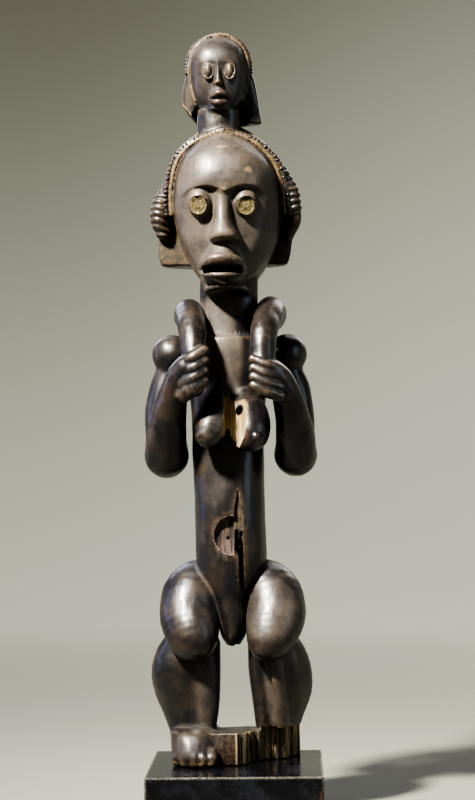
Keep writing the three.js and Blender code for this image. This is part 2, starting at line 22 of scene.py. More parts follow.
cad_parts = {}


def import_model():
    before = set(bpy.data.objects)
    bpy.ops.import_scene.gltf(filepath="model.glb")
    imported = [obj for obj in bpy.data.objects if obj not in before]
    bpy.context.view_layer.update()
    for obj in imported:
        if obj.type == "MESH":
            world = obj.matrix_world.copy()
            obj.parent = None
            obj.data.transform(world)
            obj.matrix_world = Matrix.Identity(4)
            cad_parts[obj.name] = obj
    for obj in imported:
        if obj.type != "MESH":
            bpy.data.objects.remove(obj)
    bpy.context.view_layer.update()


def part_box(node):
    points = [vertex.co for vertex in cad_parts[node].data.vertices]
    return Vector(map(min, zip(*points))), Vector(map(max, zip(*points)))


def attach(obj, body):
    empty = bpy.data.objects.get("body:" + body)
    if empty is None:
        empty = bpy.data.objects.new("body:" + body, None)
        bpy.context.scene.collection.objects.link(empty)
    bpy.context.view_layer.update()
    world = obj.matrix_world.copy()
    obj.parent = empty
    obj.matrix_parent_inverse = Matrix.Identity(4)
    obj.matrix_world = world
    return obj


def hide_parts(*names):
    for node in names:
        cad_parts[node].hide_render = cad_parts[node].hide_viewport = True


LOG = logging.getLogger("reliquary_figure")

Vec3 = tuple[float, float, float]
Key = tuple[float, ...]
Array = np.ndarray

MM = 0.001
FIGURE_SET_BACK = 16.0
PLINTH_HEIGHT = 45.0
BODY = "root"

BLOCK_TOP = 31.0
FLAP_BOTTOM = 437.0
BROW = 495.0
SMALL_FLAP_BOTTOM = 563.0


class Side(Enum):
    """Side of the figure, as the viewer sees it."""

    LEFT = -1
    RIGHT = 1


class Bare(Enum):
    """What a cut or a worn place lays bare, and the shade and light painted on such places."""

    OCHRE = "ochre"
    RAW = "raw"
    SCUFFED = "scuffed"
    EARTHY = "earthy"
    PALE = "pale"
    # Painted shade: near-black colour in holes, sockets, cracks, notches, mouths and the recesses of the break.
    DARK = "dark"
    # Worn, paler patina, laid partly on the faces the key light falls on, so also a painted highlight.
    WORN_AND_LIT = "worn"


# Shaping helpers


def smoothstep(low: float, high: float, value: Array) -> Array:
    """Smooth rise from 0 at low to 1 at high."""
    share = np.clip((value - low) / (high - low), 0.0, 1.0)
    return share * share * (3.0 - 2.0 * share)


def soft_min(a: Array, b: Array, blend: float) -> Array:
    """Smaller of two distances, rounded where they cross.

    Args:
        a: First distance.
        b: Second distance.
        blend: Width of the rounding in millimetres, 0 for a crisp crease.

    Returns:
        The joined distance.
    """
    if blend <= 0.0:
        return np.minimum(a, b)
    near = np.maximum(blend - np.abs(a - b), 0.0) / blend
    return np.minimum(a, b) - near * near * blend * 0.25


def soft_max(a: Array, b: Array, blend: float) -> Array:
    """Larger of two distances, rounded where they cross."""
    return -soft_min(-a, -b, blend)


def through(keys: Sequence[Key], count: int) -> Array:
    """Smooth rows through a table of key rows.

    Args:
        keys: Key rows of equal length.
        count: Number of rows to give.

    Returns:
        Rows that pass through every key.
    """
    table = np.array(keys, float)
    padded = np.vstack([2 * table[0] - table[1], table, 2 * table[-1] - table[-2]])
    place = np.linspace(0.0, len(table) - 1.0, count)
    index = np.minimum(place.astype(int), len(table) - 2)
    t = (place - index)[:, None]
    a, b, c, d = (padded[index + step] for step in range(4))
    return b + 0.5 * t * ((c - a) + t * ((2 * a - 5 * b + 4 * c - d) + t * (3 * b - a - 3 * c + d)))


# Forms that are joined or cut


class Form:
    """A closed form with a distance to its skin, negative inside."""

    def bounds(self) -> tuple[Array, Array]:
        """Lowest and highest corner."""
        raise NotImplementedError

    def distance(self, x: Array, y: Array, z: Array) -> Array:
        """Distance of points to the skin."""
        raise NotImplementedError


@dataclass
class Egg(Form):
    """Egg-shaped form, turned about its own centre.

    Attributes:
        centre: Middle of the egg.
        radii: Half sizes along its own axes.
        turn: Degrees about X, Y and Z.
    """

    centre: Vec3
    radii: Vec3
    turn: Vec3 = (0.0, 0.0, 0.0)

    def bounds(self) -> tuple[Array, Array]:
        """Lowest and highest corner."""
        reach = max(self.radii) if any(self.turn) else np.array(self.radii)
        return np.array(self.centre) - reach, np.array(self.centre) + reach

    def distance(self, x: Array, y: Array, z: Array) -> Array:
        """Distance of points to the skin."""
        back = Euler([math.radians(angle) for angle in self.turn]).to_matrix().transposed()
        dx, dy, dz = x - self.centre[0], y - self.centre[1], z - self.centre[2]
        near, far = 0.0, 0.0
        for axis in range(3):
            along = back[axis][0] * dx + back[axis][1] * dy + back[axis][2] * dz
            near = near + (along / self.radii[axis]) ** 2
            far = far + (along / self.radii[axis] ** 2) ** 2
        near, far = np.sqrt(near), np.sqrt(np.maximum(far, 1e-9))
        return near * (near - 1.0) / far


@dataclass
class Limb(Form):
    """Round limb along a smooth path.

    Attributes:
        keys: Rows of x, y, z and radius.
        steps: Number of straight stretches.
        stretch: Factors that flatten or widen the limb about its first key.
    """

    keys: Sequence[Key]
    steps: int = 14
    stretch: Vec3 = (1.0, 1.0, 1.0)

    def rows(self) -> Array:
        """Points and radii along the path."""
        rows = through(self.keys, self.steps + 1)
        rows[:, :3] = (rows[:, :3] - rows[0, :3]) / np.array(self.stretch) + rows[0, :3]
        return rows

    def bounds(self) -> tuple[Array, Array]:
        """Lowest and highest corner."""
        rows = through(self.keys, self.steps + 1)
        reach = rows[:, 3:] * np.array(self.stretch)
        return (rows[:, :3] - reach).min(axis=0), (rows[:, :3] + reach).max(axis=0)

    def distance(self, x: Array, y: Array, z: Array) -> Array:
        """Distance of points to the skin."""
        rows = self.rows()
        start = rows[0, :3]
        x, y, z = ((v - s) / f + s for v, s, f in zip((x, y, z), start, self.stretch))
        least: Array | None = None
        for low, high in zip(rows[:-1], rows[1:]):
            way = high[:3] - low[:3]
            length = max(float(way @ way), 1e-9)
            dx, dy, dz = x - low[0], y - low[1], z - low[2]
            place = np.clip((dx * way[0] + dy * way[1] + dz * way[2]) / length, 0.0, 1.0)
            gap = (dx - place * way[0]) ** 2 + (dy - place * way[1]) ** 2 + (dz - place * way[2]) ** 2
            stretch = np.sqrt(gap) - (low[3] + place * (high[3] - low[3]))
            least = stretch if least is None else np.minimum(least, stretch)
        return least * min(self.stretch)


@dataclass
class Column(Form):
    """Upright form from level sections.

    Attributes:
        keys: Rows of z, x, half width, front y and back y, upwards.
        squareness: 2 for round sections, more for squarer ones.
        widest_y: Depth at which a section is widest.
        rim: Rounding of the upper and lower rims.
    """

    keys: Sequence[Key]
    squareness: float = 2.0
    widest_y: float = 0.0
    rim: float = 2.0

    def bounds(self) -> tuple[Array, Array]:
        """Lowest and highest corner."""
        rows = through(self.keys, 80)
        low = (rows[:, 1] - rows[:, 2]).min(), rows[:, 3].min(), rows[0, 0]
        high = (rows[:, 1] + rows[:, 2]).max(), rows[:, 4].max(), rows[-1, 0]
        return np.array(low), np.array(high)

    def share(self, x: Array, y: Array, z: Array) -> tuple[Array, Array]:
        """How far out points lie in their section, and how fast that grows."""
        rows = through(self.keys, 120)
        level = [np.interp(z, rows[:, 0], rows[:, column]) for column in range(1, 5)]
        middle, half, front, back = level
        reach = np.where(y < self.widest_y, self.widest_y - front, back - self.widest_y)
        across, deep = np.abs(x - middle) / half, np.abs(y - self.widest_y) / np.maximum(reach, 1.0)
        power = self.squareness
        total = np.maximum(across**power + deep**power, 1e-4)
        out = total ** (1.0 / power)
        fall = total ** (1.0 / power - 1.0)
        slope = np.hypot(across ** (power - 1) * fall / half, deep ** (power - 1) * fall / np.maximum(reach, 1.0))
        return out, slope

    def distance(self, x: Array, y: Array, z: Array) -> Array:
        """Distance of points to the skin."""
        out, slope = self.share(x, y, z)
        above, _ = self.share(x, y, z + 1.0)
        side = (out - 1.0) / np.maximum(np.hypot(slope, above - out), 0.012)
        low, high = self.keys[0][0], self.keys[-1][0]
        return soft_max(side, np.maximum(low - z, z - high), self.rim)


@dataclass
class Slab(Form):
    """Upright slab on a plan outline.

    Attributes:
        outline: Corner points x, y of the plan.
        low: Height of the underside.
        high: Height of the top.
        rim: Rounding of its upper and lower edges.
    """

    outline: Sequence[tuple[float, float]]
    low: float
    high: float
    rim: float = 0.8

    def bounds(self) -> tuple[Array, Array]:
        """Lowest and highest corner."""
        plan = np.array(self.outline)
        return np.array([*plan.min(axis=0), self.low]), np.array([*plan.max(axis=0), self.high])

    def distance(self, x: Array, y: Array, z: Array) -> Array:
        """Distance of points to the skin."""
        return soft_max(polygon_distance(self.outline, x, y), np.maximum(self.low - z, z - self.high), self.rim)


@dataclass
class FrontCut(Form):
    """Room with a frontal outline of x, z points between two depths.

    Attributes:
        outline: Corner points x, z seen from the front.
        front: Nearest y.
        back: Farthest y.
        rim: Rounding where its wall meets its floor.
        lean: How far the floor comes forward for each millimetre to the right.
    """

    outline: Sequence[tuple[float, float]]
    front: float
    back: float
    rim: float = 0.8
    lean: float = 0.0

    def bounds(self) -> tuple[Array, Array]:
        """Lowest and highest corner."""
        plan = np.array(self.outline)
        (x0, z0), (x1, z1) = plan.min(axis=0), plan.max(axis=0)
        return np.array([x0, self.front, z0]), np.array([x1, self.back + abs(self.lean) * (x1 - x0), z1])

    def distance(self, x: Array, y: Array, z: Array) -> Array:
        """Distance of points to the skin."""
        middle = float(np.mean([point[0] for point in self.outline]))
        floor = self.back - self.lean * (x - middle)
        return soft_max(polygon_distance(self.outline, x, z), np.maximum(self.front - y, y - floor), self.rim)


def polygon_distance(outline: Sequence[tuple[float, float]], a: Array, b: Array) -> Array:
    """Distance of points to a closed outline in a plane, negative inside."""
    points = np.array(outline, float)
    least, inside = None, None
    for start, end in zip(points, np.roll(points, -1, axis=0)):
        way = end - start
        da, db = a - start[0], b - start[1]
        place = np.clip((da * way[0] + db * way[1]) / max(float(way @ way), 1e-9), 0.0, 1.0)
        gap = (da - place * way[0]) ** 2 + (db - place * way[1]) ** 2
        crossing = ((b >= start[1]) != (b >= end[1])) & (
            (da * way[1] < db * way[0]) if way[1] > 0 else (da * way[1] > db * way[0])
        )
        least = gap if least is None else np.minimum(least, gap)
        inside = crossing if inside is None else inside ^ crossing
    return np.where(inside, -1.0, 1.0) * np.sqrt(least)


@dataclass
class Plug(Form):
    """Round plug with a tilted axis, such as a socket or a nail hole.

    Attributes:
        centre: Middle of the plug.
        axis: Direction that it faces.
        radius: Its radius.
        half: Half its length.
        rim: Rounding of its edges.
    """

    centre: Vec3
    axis: Vec3
    radius: float
    half: float
    rim: float = 0.4

    def bounds(self) -> tuple[Array, Array]:
        """Lowest and highest corner."""
        reach = self.radius + self.half
        return np.array(self.centre) - reach, np.array(self.centre) + reach

    def distance(self, x: Array, y: Array, z: Array) -> Array:
        """Distance of points to the skin."""
        way = np.array(self.axis) / np.linalg.norm(self.axis)
        dx, dy, dz = x - self.centre[0], y - self.centre[1], z - self.centre[2]
        along = dx * way[0] + dy * way[1] + dz * way[2]
        off = np.sqrt(np.maximum(dx * dx + dy * dy + dz * dz - along * along, 0.0))
        return soft_max(off - self.radius, np.abs(along) - self.half, self.rim)


@dataclass
class BrowLine:
    """Two arcs over the eyes, under which the face falls back.

    Attributes:
        z: Height between the brows.
        rise: How far the arcs rise over the eyes.
        drop: Height over which the face falls back.
        spread: Share of the half width at which the arcs end.
    """

    z: float
    rise: float
    drop: float
    spread: float

    def sunk(self, across: Array, z: Array) -> Array:
        """1 under the brow, 0 above it, fading towards the temples."""
        aside = np.abs(across) / self.spread
        line = self.z + self.rise * np.sin(np.minimum(aside, 1.0) * math.pi)
        edge = smoothstep(-0.3 * self.drop, self.drop, line - z)
        temple = smoothstep(-5.0 * self.drop, 8.0 * self.drop, self.z - z)
        fade = smoothstep(0.66, 1.12, aside)
        return edge + (temple - edge) * fade


@dataclass
class Mask(Form):
    """Front of a head as a relief over its outline.

    Attributes:
        outline: Rows of z, centre x and half width.
        forehead: Rows of z and y of the middle of the face above the brow.
        cheeks: The same below it.
        brow: Its brow line.
        edge_y: Depth of its edge.
        back_y: Depth of its back.
        fullness: Squareness of the curve across, at the brow and at the chin.
    """

    outline: Sequence[Key]
    forehead: Sequence[Key]
    cheeks: Sequence[Key]
    brow: BrowLine
    edge_y: float
    back_y: float
    fullness: tuple[float, float] = (2.5, 2.0)

    def bounds(self) -> tuple[Array, Array]:
        """Lowest and highest corner."""
        rows = np.array(self.outline)
        low = (rows[:, 1] - rows[:, 2]).min(), min(row[1] for row in self.forehead), rows[0, 0]
        high = (rows[:, 1] + rows[:, 2]).max(), self.back_y, rows[-1, 0]
        return np.array(low), np.array(high)

    def relief(self, x: Array, z: Array) -> tuple[Array, Array]:
        """Depth of the front, and how far out sideways, at points of the face."""
        rows = through(self.outline, 160)
        across = (x - np.interp(z, rows[:, 0], rows[:, 1])) / np.interp(z, rows[:, 0], rows[:, 2])
        above, below = (through(profile, 80) for profile in (self.forehead, self.cheeks))
        sunk = self.brow.sunk(across, z)
        middle = np.interp(z, above[:, 0], above[:, 1]) * (1 - sunk) + np.interp(z, below[:, 0], below[:, 1]) * sunk
        low, high = self.outline[0][0], self.brow.z
        power = self.fullness[1] + (self.fullness[0] - self.fullness[1]) * smoothstep(low, high, z)
        curve = np.sqrt(np.maximum(1.0 - np.abs(across) ** power, 0.0))
        return self.edge_y + (middle - self.edge_y) * curve, np.abs(across)

    def distance(self, x: Array, y: Array, z: Array) -> Array:
        """Distance of points to the skin."""
        step = 0.8
        depth, across = self.relief(x, z)
        aside, _ = self.relief(x + step, z)
        raised, _ = self.relief(x, z + step)
        slope = np.hypot((aside - depth) / step, (raised - depth) / step)
        front = (depth - y) / np.hypot(1.0, np.minimum(slope, 6.0))
        rows = through(self.outline, 160)
        half = np.interp(z, rows[:, 0], rows[:, 2])
        side = (across - 1.0) * half * 0.8
        ends = np.maximum(self.outline[0][0] - z, z - self.outline[-1][0])
        return soft_max(soft_max(front, np.maximum(side, y - self.back_y), 1.2), ends, 1.2)


@dataclass
class Ridged(Form):
    """A form whose skin carries even ridges across a direction.

    Attributes:
        form: The smooth form.
        way: Direction across the ridges.
        spacing: Distance between two ridges.
        height: Half the difference between a ridge and a groove.
    """

    form: Form
    way: Vec3
    spacing: float
    height: float

    def bounds(self) -> tuple[Array, Array]:
        """Lowest and highest corner."""
        low, high = self.form.bounds()
        return low - self.height, high + self.height

    def distance(self, x: Array, y: Array, z: Array) -> Array:
        """Distance of points to the skin."""
        place = (x * self.way[0] + y * self.way[1] + z * self.way[2]) * (2 * math.pi / self.spacing)
        wave = np.abs(np.cos(place * 0.5)) * 2.0 - 1.2
        return self.form.distance(x, y, z) - self.height * wave


@dataclass
class Cluster(Form):
    """Several forms that are joined among themselves first.

    Attributes:
        forms: The members.
        blend: Rounding between them.
    """

    forms: Sequence[Form]
    blend: float = 1.5

    def bounds(self) -> tuple[Array, Array]:
        """Lowest and highest corner."""
        boxes = [form.bounds() for form in self.forms]
        return np.min([low for low, _ in boxes], axis=0), np.max([high for _, high in boxes], axis=0)

    def distance(self, x: Array, y: Array, z: Array) -> Array:
        """Distance of points to the skin."""
        whole = self.forms[0].distance(x, y, z)
        for form in self.forms[1:]:
            whole = soft_min(whole, form.distance(x, y, z), self.blend)
        return whole


# The block of wood


@dataclass
class Stain:
    """A worn or coloured place on the wood, or a place of painted shade or painted light.

    Attributes:
        form: Where it lies.
        bares: What shows there.
        reach: Distance over which it fades.
        strength: How much of it shows.
    """

    form: Form
    bares: Bare
    reach: float = 1.5
    strength: float = 1.0


@dataclass
class WoodBlock:
    """A block of wood, held as a field of distances, out of which the figure is carved.

    Attributes:
        low: Lowest corner of the block.
        high: Highest corner.
        step: Spacing of the field.
        margin: Distance up to which the field is kept.
        stains: Worn places and places of painted shade and light, gathered while carving.
    """

    low: Vec3
    high: Vec3
    step: float
    margin: float = 7.0
    stains: list[Stain] = field(default_factory=list)

    def __post_init__(self) -> None:
        """Lays out the field, empty at first."""
        starts = [math.floor(low / self.step) * self.step for low in self.low]
        self.axes = [
            (start + self.step * np.arange(int((high - start) / self.step) + 1)).astype(np.float32)
            for start, high in zip(starts, self.high)
        ]
        self.field = np.full([len(axis) for axis in self.axes], self.margin, np.float32)

    def _window(self, form: Form) -> tuple[tuple[slice, ...], list[Array]]:
        """Part of the field near a form, and its coordinates."""
        low, high = form.bounds()
        cuts, coordinates = [], []
        for index, axis in enumerate(self.axes):
            first = int(np.searchsorted(axis, low[index] - self.margin))
            last = int(np.searchsorted(axis, high[index] + self.margin))
            cuts.append(slice(first, last))
            shape = [1, 1, 1]
            shape[index] = -1
            coordinates.append(axis[first:last].reshape(shape))
        return tuple(cuts), coordinates

    def add(self, form: Form, blend: float = 2.0) -> None:
        """Joins a form to the carving."""
        where, (x, y, z) = self._window(form)
        near = np.minimum(form.distance(x, y, z), self.margin)
        self.field[where] = np.minimum(soft_min(self.field[where], near, blend), self.margin)

    def cut(self, form: Form, blend: float = 0.6, bares: Bare | None = None, reach: float = 1.1) -> None:
        """Cuts a form out of the carving, and notes what the cut lays bare or the shade painted in it."""
        where, (x, y, z) = self._window(form)
        self.field[where] = soft_max(self.field[where], -form.distance(x, y, z), blend)
        if bares is not None:
            self.stains.append(Stain(form, bares, reach))

    def merge(self, other: WoodBlock, blend: float) -> None:
        """Joins a smaller block's carving, whose grid falls on this one's, and takes over its stains."""
        where = []
        for mine, its in zip(self.axes, other.axes):
            first = int(round((its[0] - mine[0]) / self.step))
            where.append(slice(first, first + len(its)))
        joined = soft_min(self.field[tuple(where)], other.field, blend)
        self.field[tuple(where)] = np.minimum(joined, self.margin)
        self.stains += other.stains

    def sample(self, values: Array, points: Array) -> Array:
        """Values of a field at free points, between its nodes."""
        place = [(points[:, i] - self.axes[i][0]) / self.step for i in range(3)]
        whole = [np.clip(p.astype(int), 0, n - 2) for p, n in zip(place, values.shape)]
        rest = [np.clip(p - w, 0.0, 1.0) for p, w in zip(place, whole)]
        total = np.zeros(len(points))
        for corner in range(8):
            bits = [(corner >> axis) & 1 for axis in range(3)]
            weight = np.ones(len(points))
            for bit, part in zip(bits, rest):
                weight = weight * (part if bit else 1.0 - part)
            total += weight * values[whole[0] + bits[0], whole[1] + bits[1], whole[2] + bits[2]]
        return total

    def blurred(self, reach: float) -> Array:
        """The field averaged over a box of that half width, twice."""
        radius = max(int(round(reach / self.step)), 1)
        result = self.field
        for _ in range(2):
            for axis in range(3):
                padded = np.concatenate(
                    [np.repeat(result.take([0], axis), radius + 1, axis), result, np.repeat(result.take([-1], axis), radius, axis)],
                    axis,
                )
                total = np.cumsum(padded, axis=axis, dtype=np.float32)
                size = result.shape[axis]
                upper = total.take(range(2 * radius + 1, 2 * radius + 1 + size), axis)
                lower = total.take(range(size), axis)
                result = (upper - lower) / (2 * radius + 1)
        return result

    def skin(self) -> tuple[Array, Array]:
        """Points and quads of the surface, one point in each cell that it crosses."""
        inside = self.field < 0.0
        shape = np.array(self.field.shape) - 1
        count = np.zeros(shape, np.uint8)
        corners = [(i, j, k) for i in (0, 1) for j in (0, 1) for k in (0, 1)]
        for i, j, k in corners:
            count += inside[i : shape[0] + i, j : shape[1] + j, k : shape[2] + k]
        cells = np.argwhere((count > 0) & (count < 8))
        lookup = np.full(shape, -1, np.int32)
        lookup[tuple(cells.T)] = np.arange(len(cells))
        values = [self.field[cells[:, 0] + i, cells[:, 1] + j, cells[:, 2] + k] for i, j, k in corners]
        total, hits = np.zeros((len(cells), 3)), np.zeros(len(cells))
        for first, start in enumerate(corners):
            for second, end in enumerate(corners):
                if sum(abs(a - b) for a, b in zip(start, end)) != 1 or first > second:
                    continue
                a, b = values[first], values[second]
                crossing = (a < 0) != (b < 0)
                share = np.where(crossing, a / np.where(crossing, a - b, 1.0), 0.0)
                for axis in range(3):
                    total[:, axis] += crossing * (start[axis] + share * (end[axis] - start[axis]))
                hits += crossing
        points = (cells + total / hits[:, None]) * self.step + np.array([axis[0] for axis in self.axes])
        return points, self._quads(inside, lookup)

    @staticmethod
    def _quads(inside: Array, lookup: Array) -> Array:
        """Quads round every edge of the field that the surface crosses."""
        quads = []
        for axis in range(3):
            one, two = [other for other in range(3) if other != axis]
            ahead = np.diff(inside.astype(np.int8), axis=axis)
            edges = np.argwhere(ahead)
            room = (edges[:, one] > 0) & (edges[:, two] > 0)
            room &= (edges[:, one] < inside.shape[one] - 1) & (edges[:, two] < inside.shape[two] - 1)
            edges = edges[room]
            ring = []
            for back_one, back_two in ((1, 1), (0, 1), (0, 0), (1, 0)):
                cell = edges.copy()
                cell[:, one] -= back_one
                cell[:, two] -= back_two
                ring.append(lookup[tuple(cell.T)])
            quad = np.stack(ring, axis=1)
            leaves = ahead[tuple(edges.T)] < 0
            turned = leaves if axis != 1 else ~leaves
            quads.append(np.where(turned[:, None], quad, quad[:, ::-1]))
        return np.concatenate(quads)


# Sub-assemblies of the figure


@dataclass
class Leg:
    """Bent leg: thigh bulb, calf bulb, and the blade of the shin between knee and ankle.

    Attributes:
        thigh: Path of the thigh.
        calf: Path of the calf.
        shin: Path of the shin.
        soft: Rounding of the valley between calf and shin.
        inner: Path of a second blade on the inner side.
        groove: Path of the groove between the two blades.
    """

    thigh: Sequence[Key]
    calf: Sequence[Key]
    shin: Sequence[Key]
    soft: float
    inner: Sequence[Key] = ()
    groove: Sequence[Key] = ()

    def carve(self, block: WoodBlock) -> None:
        """Adds the leg to the block."""
        low, high = (-78.0, -44.0, 12.0), (78.0, 60.0, 132.0)
        lower = WoodBlock(low, high, block.step)
        lower.add(Limb(self.calf, 16))
        lower.add(Limb(self.shin, 12), self.soft)
        if self.inner:
            lower.add(Limb(self.inner, 12), 3.0)
            lower.cut(Limb(self.groove, 12), 2.0)
        block.merge(lower, 1.2)
        block.add(Limb(self.thigh, 18), 1.2)


@dataclass
class Hips:
    """Both legs and the buttocks between them.

    Attributes:
        buttock_x: Middle between the buttocks.
        buttock_apart: Half the distance between their middles.
        buttock_yz: Depth and height of their middles.
        buttock_radii: Half sizes of a buttock.
        buttock_lean: Degrees by which they lean back.
    """

    buttock_x: float = -3.0
    buttock_apart: float = 14.5
    buttock_yz: tuple[float, float] = (17.0, 154.0)
    buttock_radii: Vec3 = (19.0, 21.0, 27.0)
    buttock_lean: float = -10.0
    # Worn, paler patina on thighs, calf and shin, partly on their lit faces, so also a painted highlight.
    worn: Sequence[tuple[Egg, float]] = (
        (Egg((31, -24, 130), (19, 22, 26)), 0.75),
        (Egg((44, -8, 66), (14, 18, 38)), 0.8),
        (Egg((-38, -28, 132), (12, 16, 22)), 0.2),
        (Egg((-24, -20, 66), (5, 10, 34)), 0.5),
    )
    left: Leg = field(
        default_factory=lambda: Leg(
            thigh=[(-20, 12, 161, 14), (-35, 4, 149, 25.5), (-39.5, -8, 130, 26.5), (-36.5, -21, 112, 22.5), (-33.5, -29, 103, 14)],
            calf=[(-41, 2, 104, 18), (-46, 6, 87, 26), (-47.5, 8, 71, 26.5), (-43.5, 7, 47, 22), (-40, 4, 26, 17.5)],
            shin=[(-25, -9, 102, 12), (-25.3, -9, 76, 12), (-26, -8, 50, 11.5), (-29.5, -6, 26, 11.5)],
            soft=6.0,
        )
    )
    right: Leg = field(
        default_factory=lambda: Leg(
            thigh=[(14, 12, 161, 14), (30, 4, 149, 25), (35.8, -8, 130, 26.5), (32, -21, 112, 22), (27.5, -29, 103, 14)],
            calf=[(33, 2, 104, 17), (40, 8, 87, 23.5), (43, 10, 68, 24.5), (40.5, 9, 46, 20.5), (37, 6, 26, 16.5)],
            shin=[(32, -17, 104, 9), (34.5, -17, 76, 9), (37, -14, 52, 8.5), (38, -8, 28, 8.5)],
            soft=4.0,
            inner=[(19, -3, 102, 8.5), (20.5, -3, 76, 9), (23.5, -2, 52, 9), (26, 0, 28, 8.5)],
            groove=[(23.5, -21, 104, 6), (25.5, -20, 80, 7), (28.5, -17, 56, 7), (31, -12, 28, 6)],
        )
    )

    def carve(self, block: WoodBlock) -> None:
        """Adds legs and buttocks to the block."""
        self.left.carve(block)
        self.right.carve(block)
        y, z = self.buttock_yz
        for side in Side:
            centre = (self.buttock_x + side.value * self.buttock_apart, y, z)
            block.add(Egg(centre, self.buttock_radii, (self.buttock_lean, 0.0, 0.0)), 3.0)
        for worn, strength in self.worn:
            block.stains.append(Stain(worn, Bare.WORN_AND_LIT, 9.0, strength))


@dataclass
class FootBlock:
    """Left foot with its toes, the sunk bar, and the heel of the right foot that broke away.

    Attributes:
        instep: Level sections of the left foot.
        toe_count: Number of toes.
        outer_x: Place of the outermost toe.
        inner_x: Place of the innermost toe.
        toe_front: Depth of the toes' tips, before their arc.
        toe_arc: How far the middle toes stand before the others.
        outer_set_back: How far the outermost toe stands back.
        heel_centre: Middle of the right heel.
        heel_radii: Its half sizes.
        bar_back: Plan of the bar behind the break.
        break_line: Line of the break, seen from above.
        splinters: Number of jags along the break.
        jag: Depth of a jag.
    """

    instep: Sequence[Key] = (
        (0, -35.5, 19, -43, 40), (9, -36, 21, -45.5, 44), (20, -36, 21.5, -41.5, 44), (27, -36.5, 21, -36.5, 40),
        (31, -37, 18.5, -31, 36),
    )
    toe_count: int = 5
    outer_x: float = -50.0
    inner_x: float = -20.5
    toe_front: float = -41.0
    toe_arc: float = 5.5
    outer_set_back: float = 10.0
    heel_centre: Vec3 = (35.0, 24.0, 14.0)
    heel_radii: Vec3 = (18.5, 27.0, 21.0)
    bar_back: Sequence[tuple[float, float]] = (
        (50, 50), (30, 51), (20, 14), (-15, 12), (-40, 30), (-40, -30), (-14, -31),
    )
    break_line: Sequence[tuple[float, float]] = ((1, -31), (9, -25), (27, 1), (42, 7), (52, 25), (56, 44))
    splinters: int = 19
    jag: float = 1.7

    # Painted shade: near-black bands in the recesses along the break, as x, y, half width and strength.
    painted_shade_bands: Sequence[tuple[float, float, float, float]] = (
        (5, -28, 2.6, 0.95), (16, -16, 1.2, 0.8), (22, -7, 3.0, 0.55), (30, 1, 0.8, 0.9), (41, 9, 0.6, 0.8),
    )

    def broken_front(self) -> list[tuple[float, float]]:
        """Jagged line of the break, seen from above."""
        count = self.splinters * 2
        rows = through(self.break_line, count + 1)
        turn = np.arange(count + 1)
        jags = (np.sin(turn * 2.4) * np.sin(turn * 0.37 + 1.0) + np.sin(turn * 1.13) * 0.6) * self.jag
        return [(float(x + jag * 0.5), float(y - jag)) for (x, y), jag in zip(rows, jags)]

    def toe(self, share: float) -> Limb:
        """Toe at a share of the way from the outermost to the innermost."""
        x = self.outer_x + (self.inner_x - self.outer_x) * share
        curve = self.toe_arc * math.sin((0.25 + share * 0.55) * math.pi)
        tip = self.toe_front - curve + self.outer_set_back * (1 - share) ** 3
        return Limb([(x + 0.6, tip + 9, 12.5, 4.6), (x, tip + 4.4, 8.5, 5.2), (x - 0.4, tip + 3.2, 4.8, 4.8)], 6)

    def carve(self, block: WoodBlock) -> None:
        """Adds the foot block and breaks its right front away."""
        block.add(Slab([*self.broken_front(), *self.bar_back], -4, BLOCK_TOP - 3), 1.0)
        block.add(Egg(self.heel_centre, self.heel_radii), 1.0)
        block.add(Column(self.instep, 2.5, 4.0, 5.0), 1.0)
        toes = Cluster([self.toe(index / (self.toe_count - 1)) for index in range(self.toe_count)], 0.3)
        block.add(toes, 2.0)
        for index in range(self.toe_count):
            x, y, z, radius = self.toe(index / (self.toe_count - 1)).keys[-1]
            under = Egg((x, y, z - 2.5), (radius, radius + 0.6, 3.6))
            block.stains.append(Stain(under, Bare.OCHRE, 0.8, 0.5))
        # Worn, paler instep where the light falls, so also a painted highlight.
        block.stains.append(Stain(Egg((-37, -40, 20), (17, 8, 11)), Bare.WORN_AND_LIT, 6.0, 0.3))

    def lose(self, block: WoodBlock) -> None:
        """Breaks the right foot's front away, paints shade into the recesses of the break, and levels the underside."""
        inner_x, outer_y = self.break_line[0][0], self.break_line[-1][1]
        lost = [(inner_x, -90), *self.broken_front(), (90, outer_y), (90, -90)]
        block.cut(Slab(lost, -6, BLOCK_TOP - 1), 0.3, Bare.RAW, 1.2)
        for x, y, half, strength in self.painted_shade_bands:
            block.stains.append(Stain(Egg((x, y, 14), (half, 9, 24)), Bare.DARK, 1.0, strength))
        block.cut(Slab([(-100, -100), (100, -100), (100, 100), (-100, 100)], -40, 0), 0.2)


